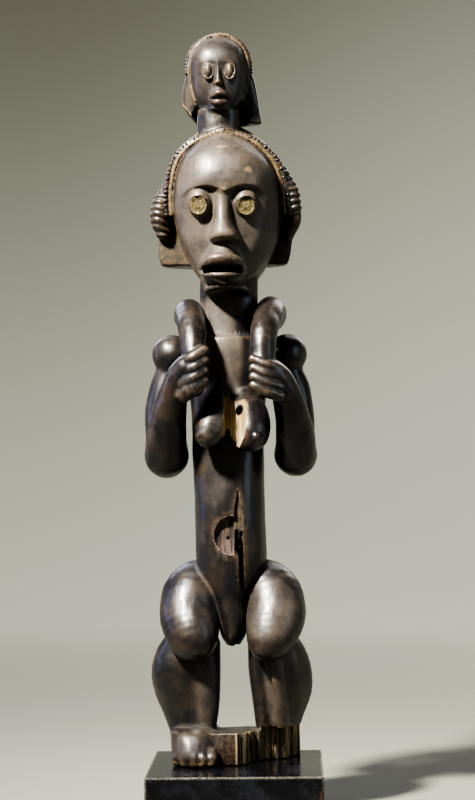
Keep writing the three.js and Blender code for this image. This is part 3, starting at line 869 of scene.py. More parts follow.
@dataclass
class Trunk:
    """Torso with its raw tapered end between the thighs, neck, breasts, and their losses."""

    torso: Sequence[Key] = (
        (101, -1.5, 6, -17, 0), (112, -1.5, 11.5, -24, 8), (126, -2.3, 13.4, -28, 22), (144, -4.6, 16.4, -28, 28),
        (162, -3.2, 27, -30, 29.5), (178, -2.6, 31, -31, 29), (215, -3.1, 30.7, -31.5, 28),
        (263, -4.2, 31.3, -29, 28), (300, -4.2, 32, -27, 29), (335, -3.8, 35, -28.5, 30),
        (358, -3.4, 36, -29, 28), (371, -3, 29, -28, 24),
    )
    neck: Sequence[Key] = (
        (359, -2.4, 25.5, -21, 26), (379, -2.3, 25.7, -19, 27), (400, -2.2, 25.6, -18, 27), (428, -2, 26, -20, 28),
    )
    left_breast: Sequence[Key] = ((-8, -20, 330, 10), (-13, -31, 309, 13.5), (-17.5, -40, 293, 14), (-20.5, -45, 285, 11))
    right_breast: Sequence[Key] = ((12, -22, 311, 15), (14.5, -32, 300, 18), (15.5, -40, 289, 18), (16, -46, 285, 13))
    nipple: Egg = field(default_factory=lambda: Egg((21.5, -57, 283), (3.6, 3.6, 3.8)))
    before: float = -70.0
    breast_break: Sequence[tuple[float, float]] = ((-6, 262), (4, 270), (5.5, 290), (3, 313), (-6, 318))
    breast_break_y: float = -33.5
    knot_hole: Egg = field(default_factory=lambda: Egg((7.3, -46, 306), (2.8, 13, 4.4), (0, 18, 0)))
    scar_x: float = 0.4
    scar_z: float = 198.0
    scar_radius: float = 16.8
    scar_y: float = -25.0
    nail_hole: Egg = field(default_factory=lambda: Egg((-4.4, -27, 195.5), (1.4, 7, 1.4)))
    cracks: Sequence[tuple[Sequence[tuple[float, float]], float]] = (
        (((4.4, 239), (1.6, 222), (0.6, 206), (1.6, 198), (6.6, 198), (9.0, 208), (7.4, 222)), -27.5),
        (((1.8, 202), (1.4, 186), (4.2, 182), (5.0, 190), (4.6, 202)), -8.0),
        (((5.2, 200), (5.6, 182), (8.4, 182), (8.6, 202)), -25.0),
        (((4.6, 186), (5.2, 150), (6.6, 138), (9.4, 150), (8.6, 186)), -22.0),
    )
    tip_notch: Sequence[Key] = ((1.2, -26, 100.6, 2.0), (1.4, -12, 100.6, 2.2), (1.6, 2, 100.4, 2.0))
    breast_facet: Sequence[tuple[float, float]] = ((4, 268), (11, 284), (14.5, 318), (2, 322), (2, 268))
    facet_y: float = -46.0
    facet_lean: float = 0.75
    knot_ochre: Egg = field(default_factory=lambda: Egg((8.5, -44, 307), (5.0, 12, 7.5), (0, 18, 0)))

    # Worn, paler patina on the neck's lit side, the chest and the breast, so partly a painted highlight.
    worn: Sequence[tuple[Egg, float]] = (
        (Egg((-8, -27, 352), (13, 10, 44)), 0.8), (Egg((-12, -22, 388), (12, 12, 24)), 0.7),
        (Egg((-17, -50, 296), (5, 10, 16)), 0.35), (Egg((-19, -30, 246), (10, 8, 20)), 0.3),
    )

    def carve(self, block: WoodBlock) -> None:
        """Adds torso, neck and breasts to the block."""
        block.add(Column(self.torso, 2.15), 1.0)
        block.add(Column(self.neck), 1.0)
        block.add(Limb(self.left_breast, 10), 3.0)
        block.add(Limb(self.right_breast, 10), 3.0)
        block.add(self.nipple, 1.5)

    def lose(self, block: WoodBlock) -> None:
        """Cuts the damage into the trunk, with painted shade in its holes, one crack and the notch."""
        block.cut(FrontCut(self.breast_break, self.before, self.breast_break_y), 0.5, Bare.PALE)
        block.cut(FrontCut(self.breast_facet, self.before, self.facet_y, 0.8, self.facet_lean), 1.0, Bare.PALE, 0.9)
        # The knot hole, the nail hole, the second crack and the notch at the tip get painted shade.
        block.cut(self.knot_hole, 0.8, Bare.DARK)
        block.stains.append(Stain(self.knot_ochre, Bare.OCHRE, 2.0))
        turns = [math.pi * (0.5 + step / 14) for step in range(15)]
        rim = [(self.scar_x + self.scar_radius * math.cos(t), self.scar_z + self.scar_radius * math.sin(t)) for t in turns]
        block.cut(FrontCut(rim, self.before, self.scar_y), 0.5, Bare.SCUFFED)
        block.cut(self.nail_hole, 0.2, Bare.DARK)
        for (outline, back), bares in zip(self.cracks, (Bare.EARTHY, Bare.DARK, Bare.EARTHY, Bare.EARTHY)):
            block.cut(FrontCut(outline, self.before, back), 0.6, bares)
        for worn, strength in self.worn:
            block.stains.append(Stain(worn, Bare.WORN_AND_LIT, 8.0, strength))
        block.stains.append(Stain(FrontCut(self.cracks[0][0], self.before, self.cracks[0][1]), Bare.OCHRE, 1.1, 0.4))
        block.cut(Limb(self.tip_notch, 6), 1.0, Bare.DARK)


@dataclass
class Arm:
    """Arm folded up to the chest, with the hand that grips the roll.

    Attributes:
        shoulder: Middle and radius of the shoulder ball.
        upper: Path of the upper arm.
        fore: Path of the forearm.
        palm: Back of the hand.
        knuckle_x: Where the fingers start.
        tip_x: Where they end.
        finger_z: Heights of the lowest and the highest finger.
        rise: How far a finger rises from knuckle to tip.
    """

    shoulder: Key
    upper: Sequence[Key]
    fore: Sequence[Key]
    palm: Egg
    knuckle_x: float
    tip_x: float
    finger_z: tuple[float, float]
    rise: float
    finger_radii: Vec3
    finger_count: int = 4
    finger_front: float = -67.6
    wrap: float = 4.6

    def fingers(self) -> Cluster:
        """Fingers wrapped round the roll."""
        forms = []
        for index in range(self.finger_count):
            low, high = self.finger_z
            z = low + (high - low) * index / (self.finger_count - 1)
            middle = (self.knuckle_x + self.tip_x) / 2
            first, second, third = self.finger_radii
            front = self.finger_front
            keys = [
                (self.knuckle_x, front + first + self.wrap, z - self.rise * 0.6, first),
                (middle, front + second, z, second),
                (self.tip_x, front + third + self.wrap * 0.55, z + self.rise * 0.7, third),
            ]
            forms.append(Limb(keys, 8))
        return Cluster(forms, 0.4)

    def carve(self, block: WoodBlock) -> None:
        """Adds the arm to the block."""
        x, y, z, radius = self.shoulder
        block.add(Egg((x, y, z), (radius, radius, radius)), 1.5)
        block.add(Limb(self.upper, 14), 3.0)
        block.add(Limb(self.fore, 16), 3.0)
        block.add(self.palm, 3.0)

    def grip(self, block: WoodBlock) -> None:
        """Adds the fingers over the roll."""
        block.add(self.fingers(), 0.8)


def left_arm() -> Arm:
    """The arm at the viewer's left."""
    return Arm(
        shoulder=(-53.4, 8, 357.4, 17.8),
        upper=[(-52, 10, 345, 14), (-60, 10, 326, 14.5), (-63, 7, 303, 15), (-59, 0, 280, 18), (-58.5, -5, 268, 19)],
        fore=[(-58.5, -9, 267.5, 18.5), (-57.5, -20, 284, 17.5), (-52, -38, 312, 13.5), (-45, -50, 333, 11.5), (-37, -55, 343, 11)],
        palm=Egg((-37, -50, 338), (11, 10, 17), (0, 22, 0)),
        knuckle_x=-40,
        tip_x=-22.5,
        finger_z=(324.5, 350.5),
        rise=9.0,
        finger_radii=(6.4, 6.6, 5.0),
    )


def right_arm() -> Arm:
    """The arm at the viewer's right."""
    return Arm(
        shoulder=(48.5, 8, 357, 17.5),
        upper=[(46, 10, 345, 14), (54.5, 10, 326, 14), (57.5, 7, 303, 14.5), (55.5, 0, 280, 17), (55, -5, 268, 18.5)],
        fore=[(55, -9, 267, 18), (55, -20, 284, 17), (51, -38, 308, 14), (44, -50, 329, 11.5), (36, -55, 338, 11)],
        palm=Egg((33, -50, 335), (12, 10, 16), (0, -24, 0)),
        knuckle_x=42,
        tip_x=20,
        finger_z=(321.5, 344),
        rise=7.0,
        finger_radii=(5.4, 5.4, 4.3),
    )


@dataclass
class Roll:
    """Thick roll round the back of the neck, its ends held against the chest."""

    path: Sequence[Key] = (
        (-31, -58, 326, 9), (-31.5, -54, 352, 10), (-33, -39, 376, 12), (-37, -8, 393, 12.5), (-36, 18, 389, 12.5),
        (-2, 34, 384, 12.5), (33, 18, 389, 12.5), (34.5, -10, 394, 12.5), (29, -42, 374, 12), (28, -54, 350, 10.5),
        (27, -58, 324, 9),
    )

    def carve(self, block: WoodBlock) -> None:
        """Adds the roll to the block."""
        block.add(Limb(self.path, 44), 1.0)


@dataclass
class Eye:
    """Lid bulge with a round disc let into its lower part.

    Attributes:
        lid: The bulge.
        disc: Middle of the disc, x and z.
        facing: Direction in which the disc looks.
        disc_y: Depth of the disc's middle.
        radius: Radius of the disc.
        thickness: Its thickness.
        gap: Room round it in the socket.
    """

    lid: Egg
    disc: tuple[float, float]
    facing: Vec3
    disc_y: float = -40.4
    radius: float = 7.9
    thickness: float = 1.8
    gap: float = 0.3
    reach: float = 14.0

    def centre(self) -> Vec3:
        """Middle of the disc."""
        return self.disc[0], self.disc_y, self.disc[1]

    def socket(self) -> Plug:
        """Room of the socket, open to the front."""
        way = np.array(self.facing) / np.linalg.norm(self.facing)
        back = -self.thickness / 2 - self.gap
        middle = np.array(self.centre()) + way * (self.reach + back) / 2
        return Plug(tuple(middle), self.facing, self.radius + self.gap, (self.reach - back) / 2)


@dataclass
class Mouth:
    """Open mouth: level, rounded in front, its back straight behind the teeth."""

    low: float
    high: float
    x: float
    half: float
    arc_y: float
    reach: float
    back_y: float
    steps: int = 16

    def teeth(self) -> list[Vec3]:
        """Path of the teeth, seated in the upper jaw."""
        turns = [math.pi * (1.12 + 0.76 * step / self.steps) for step in range(self.steps + 1)]
        sunk = self.reach * 0.3
        return [(self.x + self.half * 0.9 * math.cos(t), self.arc_y + sunk * math.sin(t), self.high) for t in turns]

    def room(self) -> Slab:
        """Room between the lips."""
        turns = [math.pi * (1 + step / self.steps) for step in range(self.steps + 1)]
        front = [(self.x + self.half * math.cos(t), self.arc_y + self.reach * math.sin(t)) for t in turns]
        return Slab([*front, (self.x + self.half, self.back_y), (self.x - self.half, self.back_y)], self.low, self.high)


@dataclass
class Hairline:
    """Ridge that frames the forehead.

    Attributes:
        start: Height at which it begins on both sides.
        lift: How far it lies outside the mask's outline.
        set_forward: How far it lies before the mask's edge.
        radius: Its radius.
        lean: How far it comes forward for each millimetre upwards.
    """

    start: float
    lift: float
    set_forward: float = 8.0
    radius: float = 2.3
    lean: float = 0.12

    def path(self, mask: Mask) -> list[Key]:
        """Path of the ridge round a mask."""
        rows = [row for row in mask.outline if row[0] > self.start]

        def point(row: Key, way: int) -> Key:
            z, x, half = row
            y = mask.edge_y - self.set_forward - (z - self.start) * self.lean
            return x + way * (half + self.lift), y, z, self.radius

        top_z, top_x, _ = rows[-1]
        top_y = mask.edge_y - self.set_forward - (top_z - self.start) * self.lean - self.radius
        top = (top_x, top_y, top_z + self.lift / 2, self.radius)
        return [*(point(row, -1) for row in rows), top, *(point(row, 1) for row in reversed(rows))]


@dataclass
class GreatHead:
    """Large head: mask, nose, eyes, jutting mouth, and a coiffure whose flap hangs round the nape."""

    face: Mask = field(
        default_factory=lambda: Mask(
            outline=[
                (408, -5, 12), (412, -4.5, 16.5), (425, -2.2, 26.3), (440, -1.4, 35.9), (450, -1.3, 40.4),
                (460, -1.4, 44.2), (471, -1.6, 47), (481, -2.1, 48.7), (492, -2.6, 48.8), (500, -3, 48.2),
                (511, -3.4, 46.2), (521, -3.7, 43.7), (531, -4.4, 38.5), (541, -5, 28.5), (547, -4.7, 18.5), (551, -4.4, 7),
            ],
            forehead=[
                (400, -40), (480, -45), (497, -46.5), (508, -47.5), (518, -46), (528, -42), (537, -35), (545, -25.5),
                (551, -13),
            ],
            cheeks=[
                (404, -18), (410, -24), (425, -30), (445, -33.5), (470, -35.5), (482, -37), (497, -40), (550, -40),
            ],
            brow=BrowLine(z=BROW, rise=5.5, drop=3.6, spread=0.8),
            edge_y=4,
            back_y=22,
            fullness=(2.5, 2.2),
        )
    )
    nose: Column = field(
        default_factory=lambda: Column(
            [
                (452.3, -3.8, 11.5, -46, -24), (455, -3.8, 13.4, -51, -24), (459, -4.1, 12.8, -52, -24),
                (466, -5, 10, -50, -26), (477, -5.7, 7.8, -47, -28), (488, -5.6, 7.6, -44.5, -30),
                (499, -5.2, 9, -43.5, -32),
            ],
            2.3,
            -34.0,
            1.4,
        )
    )
    left_eye: Eye = field(
        default_factory=lambda: Eye(Egg((-24.9, -31.5, 488), (11.4, 13, 13.6)), (-26.3, 483.7), (-0.16, -1, -0.14))
    )
    right_eye: Eye = field(
        default_factory=lambda: Eye(Egg((13.8, -31.5, 487), (11.5, 13, 13.6)), (15.1, 482.7), (0.16, -1, -0.14))
    )
    muzzle: Column = field(
        default_factory=lambda: Column(
            [
                (407.5, -4.5, 12, -28, 0), (410, -4.3, 17, -40, 0), (413.5, -4.2, 18.5, -45, 0), (416.5, -4.8, 16, -41, 0),
                (420, -6.2, 17, -42, 0), (426, -6.6, 18.5, -47, 0), (433, -6.5, 18, -49, 0), (438, -6.3, 17, -49, 0),
                (444, -5.6, 15, -45, 0), (453, -4.4, 13, -38, 0),
            ],
            2.1,
            -16.0,
            3.0,
        )
    )
    upper_lip: Sequence[Key] = (
        (-24.4, -34, 429.4, 3.4), (-21.5, -43, 432.8, 4.5), (-14.5, -50.5, 435.6, 5.2), (-6.3, -52.4, 436.4, 5.4),
        (2, -50.5, 435.6, 5.2), (8.8, -43, 432.8, 4.5), (11.6, -34, 429.4, 3.4),
    )
    lower_lip: Sequence[Key] = (
        (-24.4, -34, 427, 3.2), (-20.5, -43, 423.7, 2.7), (-13.5, -49, 422.6, 2.5), (-6.3, -50.6, 422.4, 2.5),
        (1, -49, 422.6, 2.5), (8, -43, 423.7, 2.7), (11.6, -34, 427, 3.2),
    )
    mouth: Mouth = field(default_factory=lambda: Mouth(424.8, 430.8, -6.1, 16.5, -44, 22, -32))
    coiffure: Column = field(
        default_factory=lambda: Column(
            [
                (FLAP_BOTTOM, -6, 56, 8, 50), (446, -6, 58.5, 8, 53), (458, -5, 59.5, 7.5, 56), (474, -2.2, 61.5, 5, 58),
                (499, -0.8, 60, -2, 58), (520, -4.4, 50.8, -8, 54), (540, -5.4, 41.8, -11, 44), (552, -5.2, 29, -10, 32),
                (560.5, -4, 12, -4, 18),
            ],
            2.25,
            12.0,
        )
    )
    hollow: Column = field(
        default_factory=lambda: Column(
            [
                (FLAP_BOTTOM - 6, -5, 29, -60, 40), (450, -4, 36, -60, 42), (462, -3, 40, -58, 42),
                (474, -2, 38, -50, 40), (480, -2, 30, -44, 34),
            ],
            2.4,
            6.0,
        )
    )
    left_tress: Sequence[Key] = (
        (-50.5, 1, 514, 4), (-56, 1, 503, 5.5), (-61, 1, 491, 8), (-62.5, 3, 478, 8.5), (-60, 6, 467, 7),
    )
    right_tress: Sequence[Key] = ((43.5, -2, 524, 4), (48.5, -1, 513, 5.5), (54, 0, 500, 7), (56.5, 2, 486, 7))
    groove_spacing: float = 5.6
    groove_height: float = 0.75
    lobe: Sequence[Key] = ((56, 3, 486, 6), (57, 4, 475, 6), (51, 7, 463, 5.5))
    hairline: Hairline = field(default_factory=lambda: Hairline(start=474, lift=1.0, radius=1.5))
    band: Hairline = field(default_factory=lambda: Hairline(start=480, lift=4.8, set_forward=6.5, radius=2.7))

    def carve(self, block: WoodBlock) -> None:
        """Adds the head to the block."""
        shell = WoodBlock((-80, -30, 424), (80, 65, 566), block.step)
        shell.add(self.coiffure)
        shell.cut(self.hollow, 1.0)
        block.merge(shell, 1.0)
        for tress, lean in ((self.left_tress, 0.25), (self.right_tress, -0.35)):
            ridged = Ridged(Limb(tress, 10), (lean, 0.2, 1.0), self.groove_spacing, self.groove_height)
            block.add(ridged, 1.0)
        block.add(Limb(self.lobe, 6), 1.5)
        block.add(Limb(self.band.path(self.face), 48), 0.8)
        block.add(self.face, 0.3)
        block.add(self.nose, 2.6)
        for eye in (self.left_eye, self.right_eye):
            block.add(eye.lid, 1.0)
        block.add(self.muzzle, 4.5)
        block.add(Limb(self.upper_lip, 18), 2.0)
        block.add(Limb(self.lower_lip, 18), 1.0)
        block.add(Limb(self.hairline.path(self.face), 48), 0.5)
        self.stain(block)

    def stain(self, block: WoodBlock) -> None:
        """Notes the worn and coloured places of the head, the worn face also being a painted highlight."""
        rim = [(x + side * half * 0.985, self.face.edge_y - 6, z) for side in (-1, 1) for z, x, half in self.face.outline]
        middle = len(rim) // 2
        path = [*rim[:middle], *reversed(rim[middle:])]
        edge = Limb([(*point, 2.0) for point in path], 60)
        block.stains.append(Stain(edge, Bare.OCHRE, 1.4, 0.65))
        block.stains.append(Stain(Limb(self.hairline.path(self.face), 48), Bare.OCHRE, 0.7, 0.6))
        # Worn, paler face, which also paints the highlight of the lit forehead.
        block.stains.append(Stain(Egg((-4, -24, 480), (41, 34, 66)), Bare.WORN_AND_LIT, 9.0))
        block.stains.append(Stain(Egg((-46, 6, 453), (20, 9, 20)), Bare.EARTHY, 4.0, 0.95))
        block.stains.append(Stain(Egg((44, 6, 452), (14, 9, 20)), Bare.EARTHY, 4.0, 0.6))
        for centre, radii in (
            ((-6.5, -40, 536), (4.2, 5, 1.6)),
            ((-27, -44, 518), (1.3, 6, 4.0)),
            ((17.5, -44, 514), (2.4, 6, 2.2)),
            ((-5.6, -47, 496.5), (2.6, 4, 1.2)),
        ):
            block.stains.append(Stain(Egg(centre, radii), Bare.PALE, 0.9, 0.55))

    def lose(self, block: WoodBlock) -> None:
        """Opens the mouth and the eye sockets, with painted shade inside them."""
        block.cut(self.mouth.room(), 0.6, Bare.DARK)
        for eye in (self.left_eye, self.right_eye):
            block.cut(eye.socket(), 0.3, Bare.DARK, 0.6)


@dataclass
class SmallHead:
    """Small head above the coiffure, on a neck of its own."""

    neck: Sequence[Key] = ((545, -9.2, 18, -12, 24), (560, -9.3, 18.8, -13, 25), (575, -9.2, 18.5, -12, 25))
    face: Mask = field(
        default_factory=lambda: Mask(
            outline=[
                (569.5, -8.9, 9), (573, -8.9, 14.5), (582, -8.8, 20.6), (594, -8.6, 24.8), (607, -8.6, 26.2),
                (618, -8.6, 25.4), (628, -8.5, 21.8), (635, -8.4, 15.5), (639.5, -8.3, 7),
            ],
            forehead=[(560, -18), (602, -20.5), (614, -22), (624, -20), (632, -14.5), (637, -8), (640, -2)],
            cheeks=[(566, -7), (572, -12), (585, -16.5), (600, -18.5), (612, -20.5), (640, -20.5)],
            brow=BrowLine(z=612, rise=1.2, drop=7.0, spread=0.8),
            edge_y=3,
            back_y=10,
        )
    )
    nose: Column = field(
        default_factory=lambda: Column(
            [
                (592.5, -8.7, 4.2, -21, -8), (594.5, -8.7, 5.4, -25, -8), (600, -8.7, 4.4, -23.6, -8),
                (608, -8.7, 3.5, -22.4, -8), (616, -8.6, 3.8, -21.5, -8),
            ],
            1.8,
            -12.0,
            1.0,
        )
    )
    lid_centres: Sequence[Vec3] = ((-17.2, -18.9, 606), (1.6, -19.0, 605.4))
    lid_radii: Vec3 = (3.2, 3.9, 6.2)
    lid_ring: Vec3 = (4.6, 1.0, 7.8)
    muzzle: Column = field(
        default_factory=lambda: Column(
            [
                (570, -8.8, 6, -12, 0), (572.5, -8.5, 9.5, -18, 0), (576, -7.8, 9, -19.5, 0), (580, -7.4, 9, -21.5, 0),
                (585, -7.4, 9, -22.5, 0), (589, -7.6, 8, -21, 0), (593, -8.4, 6, -18, 0),
            ],
            2.0,
            -6.0,
            1.0,
        )
    )
    upper_lip: Sequence[Key] = (
        (-15.6, -17, 581.6, 1.6), (-12, -22, 584, 2.8), (-7.5, -24, 585, 3.1), (-3, -22, 584, 2.8), (0.6, -17, 581.6, 1.6),
    )
    lower_lip: Sequence[Key] = (
        (-15.2, -17, 580, 1.6), (-11.5, -21.5, 577.6, 2.5), (-7.5, -23, 577, 2.8), (-3.5, -21.5, 577.6, 2.5),
        (0.2, -17, 580, 1.6),
    )
    mouth: Mouth = field(default_factory=lambda: Mouth(580.2, 581.6, -7.4, 8, -20, 9, -17))
    coiffure: Column = field(
        default_factory=lambda: Column(
            [
                (SMALL_FLAP_BOTTOM, -7, 36, 6, 30), (575, -7.6, 34.5, 6, 34), (590, -8.4, 33.4, 4, 37),
                (604, -8.6, 30.4, 1, 37), (618, -9, 26, -1, 34), (631, -10, 20.4, -2, 27), (638, -10.2, 13, 0, 20),
                (642, -10.1, 5, 4, 12),
            ],
            2.3,
            10.0,
        )
    )
    hollow: Column = field(
        default_factory=lambda: Column(
            [(SMALL_FLAP_BOTTOM - 5, -8, 27, -30, 24), (572, -8, 25, -30, 26), (581, -8, 20, -24, 24)], 2.3, 4.0
        )
    )
    broken_corner: Sequence[tuple[float, float]] = ((-60, 586), (-41.5, 580), (-29.5, 565), (-28, 552), (-60, 552))
    hairline: Hairline = field(default_factory=lambda: Hairline(start=580, lift=0.4, set_forward=5.0, radius=1.2, lean=0.05))
    band: Hairline = field(default_factory=lambda: Hairline(start=600, lift=2.2, set_forward=3.0, radius=2.0, lean=0.05))

    def carve(self, block: WoodBlock) -> None:
        """Adds the small head to the block."""
        shell = WoodBlock((-56, -20, 552), (44, 52, 652), block.step)
        shell.add(self.coiffure)
        shell.cut(self.hollow, 0.8)
        shell.cut(FrontCut(self.broken_corner, -40, 60), 0.6, Bare.RAW)
        block.merge(shell, 1.0)
        block.add(Column(self.neck), 1.5)
        block.add(Limb(self.band.path(self.face), 40), 0.6)
        block.add(self.face, 0.3)
        block.add(self.nose, 1.2)
        for centre in self.lid_centres:
            block.add(Egg(centre, self.lid_radii), 0.5)
            block.add(Limb(self.ring(centre), 20), 0.5)
            block.stains.append(Stain(Egg(centre, (4.4, 5.5, 7.4)), Bare.PALE, 1.2, 0.1))
        block.add(self.muzzle, 2.0)
        block.add(Limb(self.upper_lip, 12), 0.8)
        block.add(Limb(self.lower_lip, 12), 0.6)
        block.add(Limb(self.hairline.path(self.face), 40), 0.4)
        block.stains.append(Stain(Limb(self.hairline.path(self.face), 40), Bare.OCHRE, 0.7, 0.45))
        block.stains.append(Stain(Egg((-8.7, -22, 594), (3, 4, 2.4)), Bare.OCHRE, 1.0, 0.5))
        # Worn, paler face, also a painted highlight.
        block.stains.append(Stain(Egg((-10, -12, 610), (20, 14, 30)), Bare.WORN_AND_LIT, 7.0, 0.4))

    def ring(self, centre: Vec3) -> list[Key]:
        """Ridge round an eye."""
        x, y, z = centre
        wide, thick, tall = self.lid_ring
        turns = [2 * math.pi * step / 10 for step in range(11)]
        return [(x + wide * math.cos(t), y - 1.4 + abs(math.cos(t)) * 1.2, z + tall * math.sin(t), thick) for t in turns]

    def lose(self, block: WoodBlock) -> None:
        """Opens the mouth, with painted shade inside it."""
        block.cut(self.mouth.room(), 0.3, Bare.DARK)


# Repeated detail, made with Geometry Nodes


@dataclass
class NodeBench:
    """A node tree under construction, with short ways to add and wire nodes."""

    tree: bpy.types.NodeTree

    def add(self, kind: str, inputs: dict[str | int, object] | None = None, **settings: object) -> bpy.types.Node:
        """Adds a node.

        Args:
            kind: Its Blender type.
            inputs: Values or sockets for its inputs, by name or place.
            settings: Attributes of the node itself.

        Returns:
            The new node.
        """
        node = self.tree.nodes.new(kind)
        for name, value in settings.items():
            setattr(node, name, value)
        for name, value in (inputs or {}).items():
            self.feed(node.inputs[name], value)
        return node

    def feed(self, socket: bpy.types.NodeSocket, value: object) -> None:
        """Links a socket to another, or sets its value."""
        if isinstance(value, bpy.types.NodeSocket):
            self.tree.links.new(value, socket)
        else:
            socket.default_value = value

    def math(self, operation: str, *values: object, clamp: bool = False) -> bpy.types.NodeSocket:
        """Result of a math node."""
        node = self.add("ShaderNodeMath", dict(enumerate(values)), operation=operation, use_clamp=clamp)
        return node.outputs[0]

    def ramp(self, value: object, low: float, high: float) -> bpy.types.NodeSocket:
        """Smooth rise of a value from 0 at low to 1 at high."""
        node = self.add(
            "ShaderNodeMapRange", {"Value": value, "From Min": low, "From Max": high}, interpolation_type="SMOOTHSTEP"
        )
        return node.outputs[0]

    def mix(self, share: object, a: object, b: object) -> bpy.types.NodeSocket:
        """Colour between two colours."""
        node = self.add("ShaderNodeMix", data_type="RGBA")
        colours = [socket for socket in node.inputs if socket.type == "RGBA"]
        self.feed(node.inputs[0], share)
        self.feed(colours[0], a)
        self.feed(colours[1], b)
        return next(socket for socket in node.outputs if socket.type == "RGBA")

    def socket(self, name: str, way: str, kind: str, value: object = None) -> None:
        """Adds a named socket to the tree's own interface."""
        item = self.tree.interface.new_socket(name=name, in_out=way, socket_type=kind)
        if value is not None:
            item.default_value = value


def row_tree() -> bpy.types.NodeTree:
    """Geometry Nodes that set small carved grains in a row along a path.

    Returns:
        A tree with inputs for the grains' spacing, size, roughness of size and seed.
    """
    tree = bpy.data.node_groups.new("carved_row", "GeometryNodeTree")
    bench = NodeBench(tree)
    bench.socket("Geometry", "INPUT", "NodeSocketGeometry")
    bench.socket("Spacing", "INPUT", "NodeSocketFloat", 0.003)
    bench.socket("Size", "INPUT", "NodeSocketVector", (0.001, 0.001, 0.001))
    bench.socket("Uneven", "INPUT", "NodeSocketFloat", 0.25)
    bench.socket("Sway", "INPUT", "NodeSocketFloat", 0.3)
    bench.socket("Seed", "INPUT", "NodeSocketInt", 1)
    bench.socket("Finish", "INPUT", "NodeSocketMaterial")
    bench.socket("Geometry", "OUTPUT", "NodeSocketGeometry")
    given = bench.add("NodeGroupInput").outputs
    line = bench.add("GeometryNodeMeshToCurve", {"Mesh": given["Geometry"]})
    dots = bench.add(
        "GeometryNodeCurveToPoints", {"Curve": line.outputs["Curve"], "Length": given["Spacing"]}, mode="LENGTH"
    )
    grain = bench.add("GeometryNodeMeshIcoSphere", {"Radius": 1.0, "Subdivisions": 2})
    shaped = bench.add(
        "GeometryNodeTransform", {"Geometry": grain.outputs["Mesh"], "Scale": given["Size"]}
    )
    least = bench.math("SUBTRACT", 1.0, given["Uneven"])
    most = bench.math("ADD", 1.0, given["Uneven"])
    size = bench.add("FunctionNodeRandomValue", {"Seed": given["Seed"]}, data_type="FLOAT")
    bench.feed(size.inputs[2], least)
    bench.feed(size.inputs[3], most)
    other = bench.math("ADD", given["Seed"], 7.0)
    turn = bench.add("FunctionNodeRandomValue", data_type="FLOAT")
    bench.feed(turn.inputs[2], bench.math("MULTIPLY", given["Sway"], -1.0))
    bench.feed(turn.inputs[3], given["Sway"])
    bench.feed(turn.inputs["Seed"], other)
    swayed = bench.add("ShaderNodeCombineXYZ", {"X": turn.outputs[1], "Y": turn.outputs[1]})
    turned = bench.add(
        "FunctionNodeRotateRotation",
        {"Rotation": dots.outputs["Rotation"], "Rotate By": swayed.outputs[0]},
        rotation_space="LOCAL",
    )
    set_out = bench.add(
        "GeometryNodeInstanceOnPoints",
        {
            "Points": dots.outputs["Points"],
            "Instance": shaped.outputs[0],
            "Rotation": turned.outputs[0],
            "Scale": size.outputs[1],
        },
    )
    solid = bench.add("GeometryNodeRealizeInstances", {"Geometry": set_out.outputs[0]})
    finished = bench.add("GeometryNodeSetMaterial", {"Geometry": solid.outputs[0], "Material": given["Finish"]})
    bench.add("NodeGroupOutput", {"Geometry": finished.outputs[0]})
    return tree


@dataclass
class CarvedRow:
    """A row of small carved grains, such as the notches of a hairline or teeth.

    Attributes:
        path: Points of the row in the figure's millimetres.
        spacing: Distance from grain to grain.
        size: Half sizes of a grain, across the row twice and along it.
        uneven: Share by which sizes differ.
        sway: How far grains turn aside, in radians.
        seed: Seed of their unevenness.
    """

    path: Sequence[Vec3]
    spacing: float
    size: Vec3
    uneven: float = 0.25
    sway: float = 0.3
    seed: int = 1

    def mesh(self, tree: bpy.types.NodeTree, finish: bpy.types.Material) -> bpy.types.Mesh:
        """Builds the row as a plain mesh in the figure's place.

        Args:
            tree: The Geometry Nodes tree of such rows.
            finish: Material of the grains.

        Returns:
            The mesh, in metres.
        """
        line = bpy.data.meshes.new("row_path")
        points = [in_place(np.array([point]))[0] for point in self.path]
        line.from_pydata(points, [(index, index + 1) for index in range(len(points) - 1)], [])
        holder = bpy.data.objects.new("row_path", line)
        bpy.context.scene.collection.objects.link(holder)
        modifier = holder.modifiers.new("row", "NODES")
        modifier.node_group = tree
        values = {
            "Spacing": self.spacing * MM,
            "Size": [value * MM for value in self.size],
            "Uneven": self.uneven,
            "Sway": self.sway,
            "Seed": self.seed,
            "Finish": finish,
        }
        for item in tree.interface.items_tree:
            if item.in_out == "INPUT" and item.name in values:
                modifier[item.identifier] = values[item.name]
        result = plain_mesh(holder, "row")
        bpy.data.objects.remove(holder)
        return result


# Meshes and attributes


def in_place(points: Array) -> Array:
    """Points of the figure, in millimetres, moved to the shared frame in metres."""
    return (points + np.array([0.0, FIGURE_SET_BACK, PLINTH_HEIGHT])) * MM


def plain_mesh(holder: bpy.types.Object, name: str) -> bpy.types.Mesh:
    """Result of an object's modifiers as a plain mesh."""
    graph = bpy.context.evaluated_depsgraph_get()
    result = bpy.data.meshes.new_from_object(holder.evaluated_get(graph))
    result.name = name
    return result


def mesh_of(name: str, points: Array, faces: Array) -> bpy.types.Mesh:
    """Mesh of points and quads, or triangles.

    Args:
        name: Name of the mesh.
        points: Rows of x, y, z.
        faces: Rows of point numbers.

    Returns:
        The mesh.
    """
    mesh = bpy.data.meshes.new(name)
    corners = faces.shape[1]
    mesh.vertices.add(len(points))
    mesh.vertices.foreach_set("co", points.astype(np.float32).ravel())
    mesh.loops.add(faces.size)
    mesh.loops.foreach_set("vertex_index", faces.astype(np.int32).ravel())
    mesh.polygons.add(len(faces))
    mesh.polygons.foreach_set("loop_start", np.arange(0, faces.size, corners, dtype=np.int32))
    mesh.update(calc_edges=True)
    mesh.validate()
    return mesh


def coordinates(mesh: bpy.types.Mesh) -> Array:
    """Points of a mesh as rows."""
    flat = np.empty(len(mesh.vertices) * 3, np.float32)
    mesh.vertices.foreach_get("co", flat)
    return flat.reshape(-1, 3).astype(float)


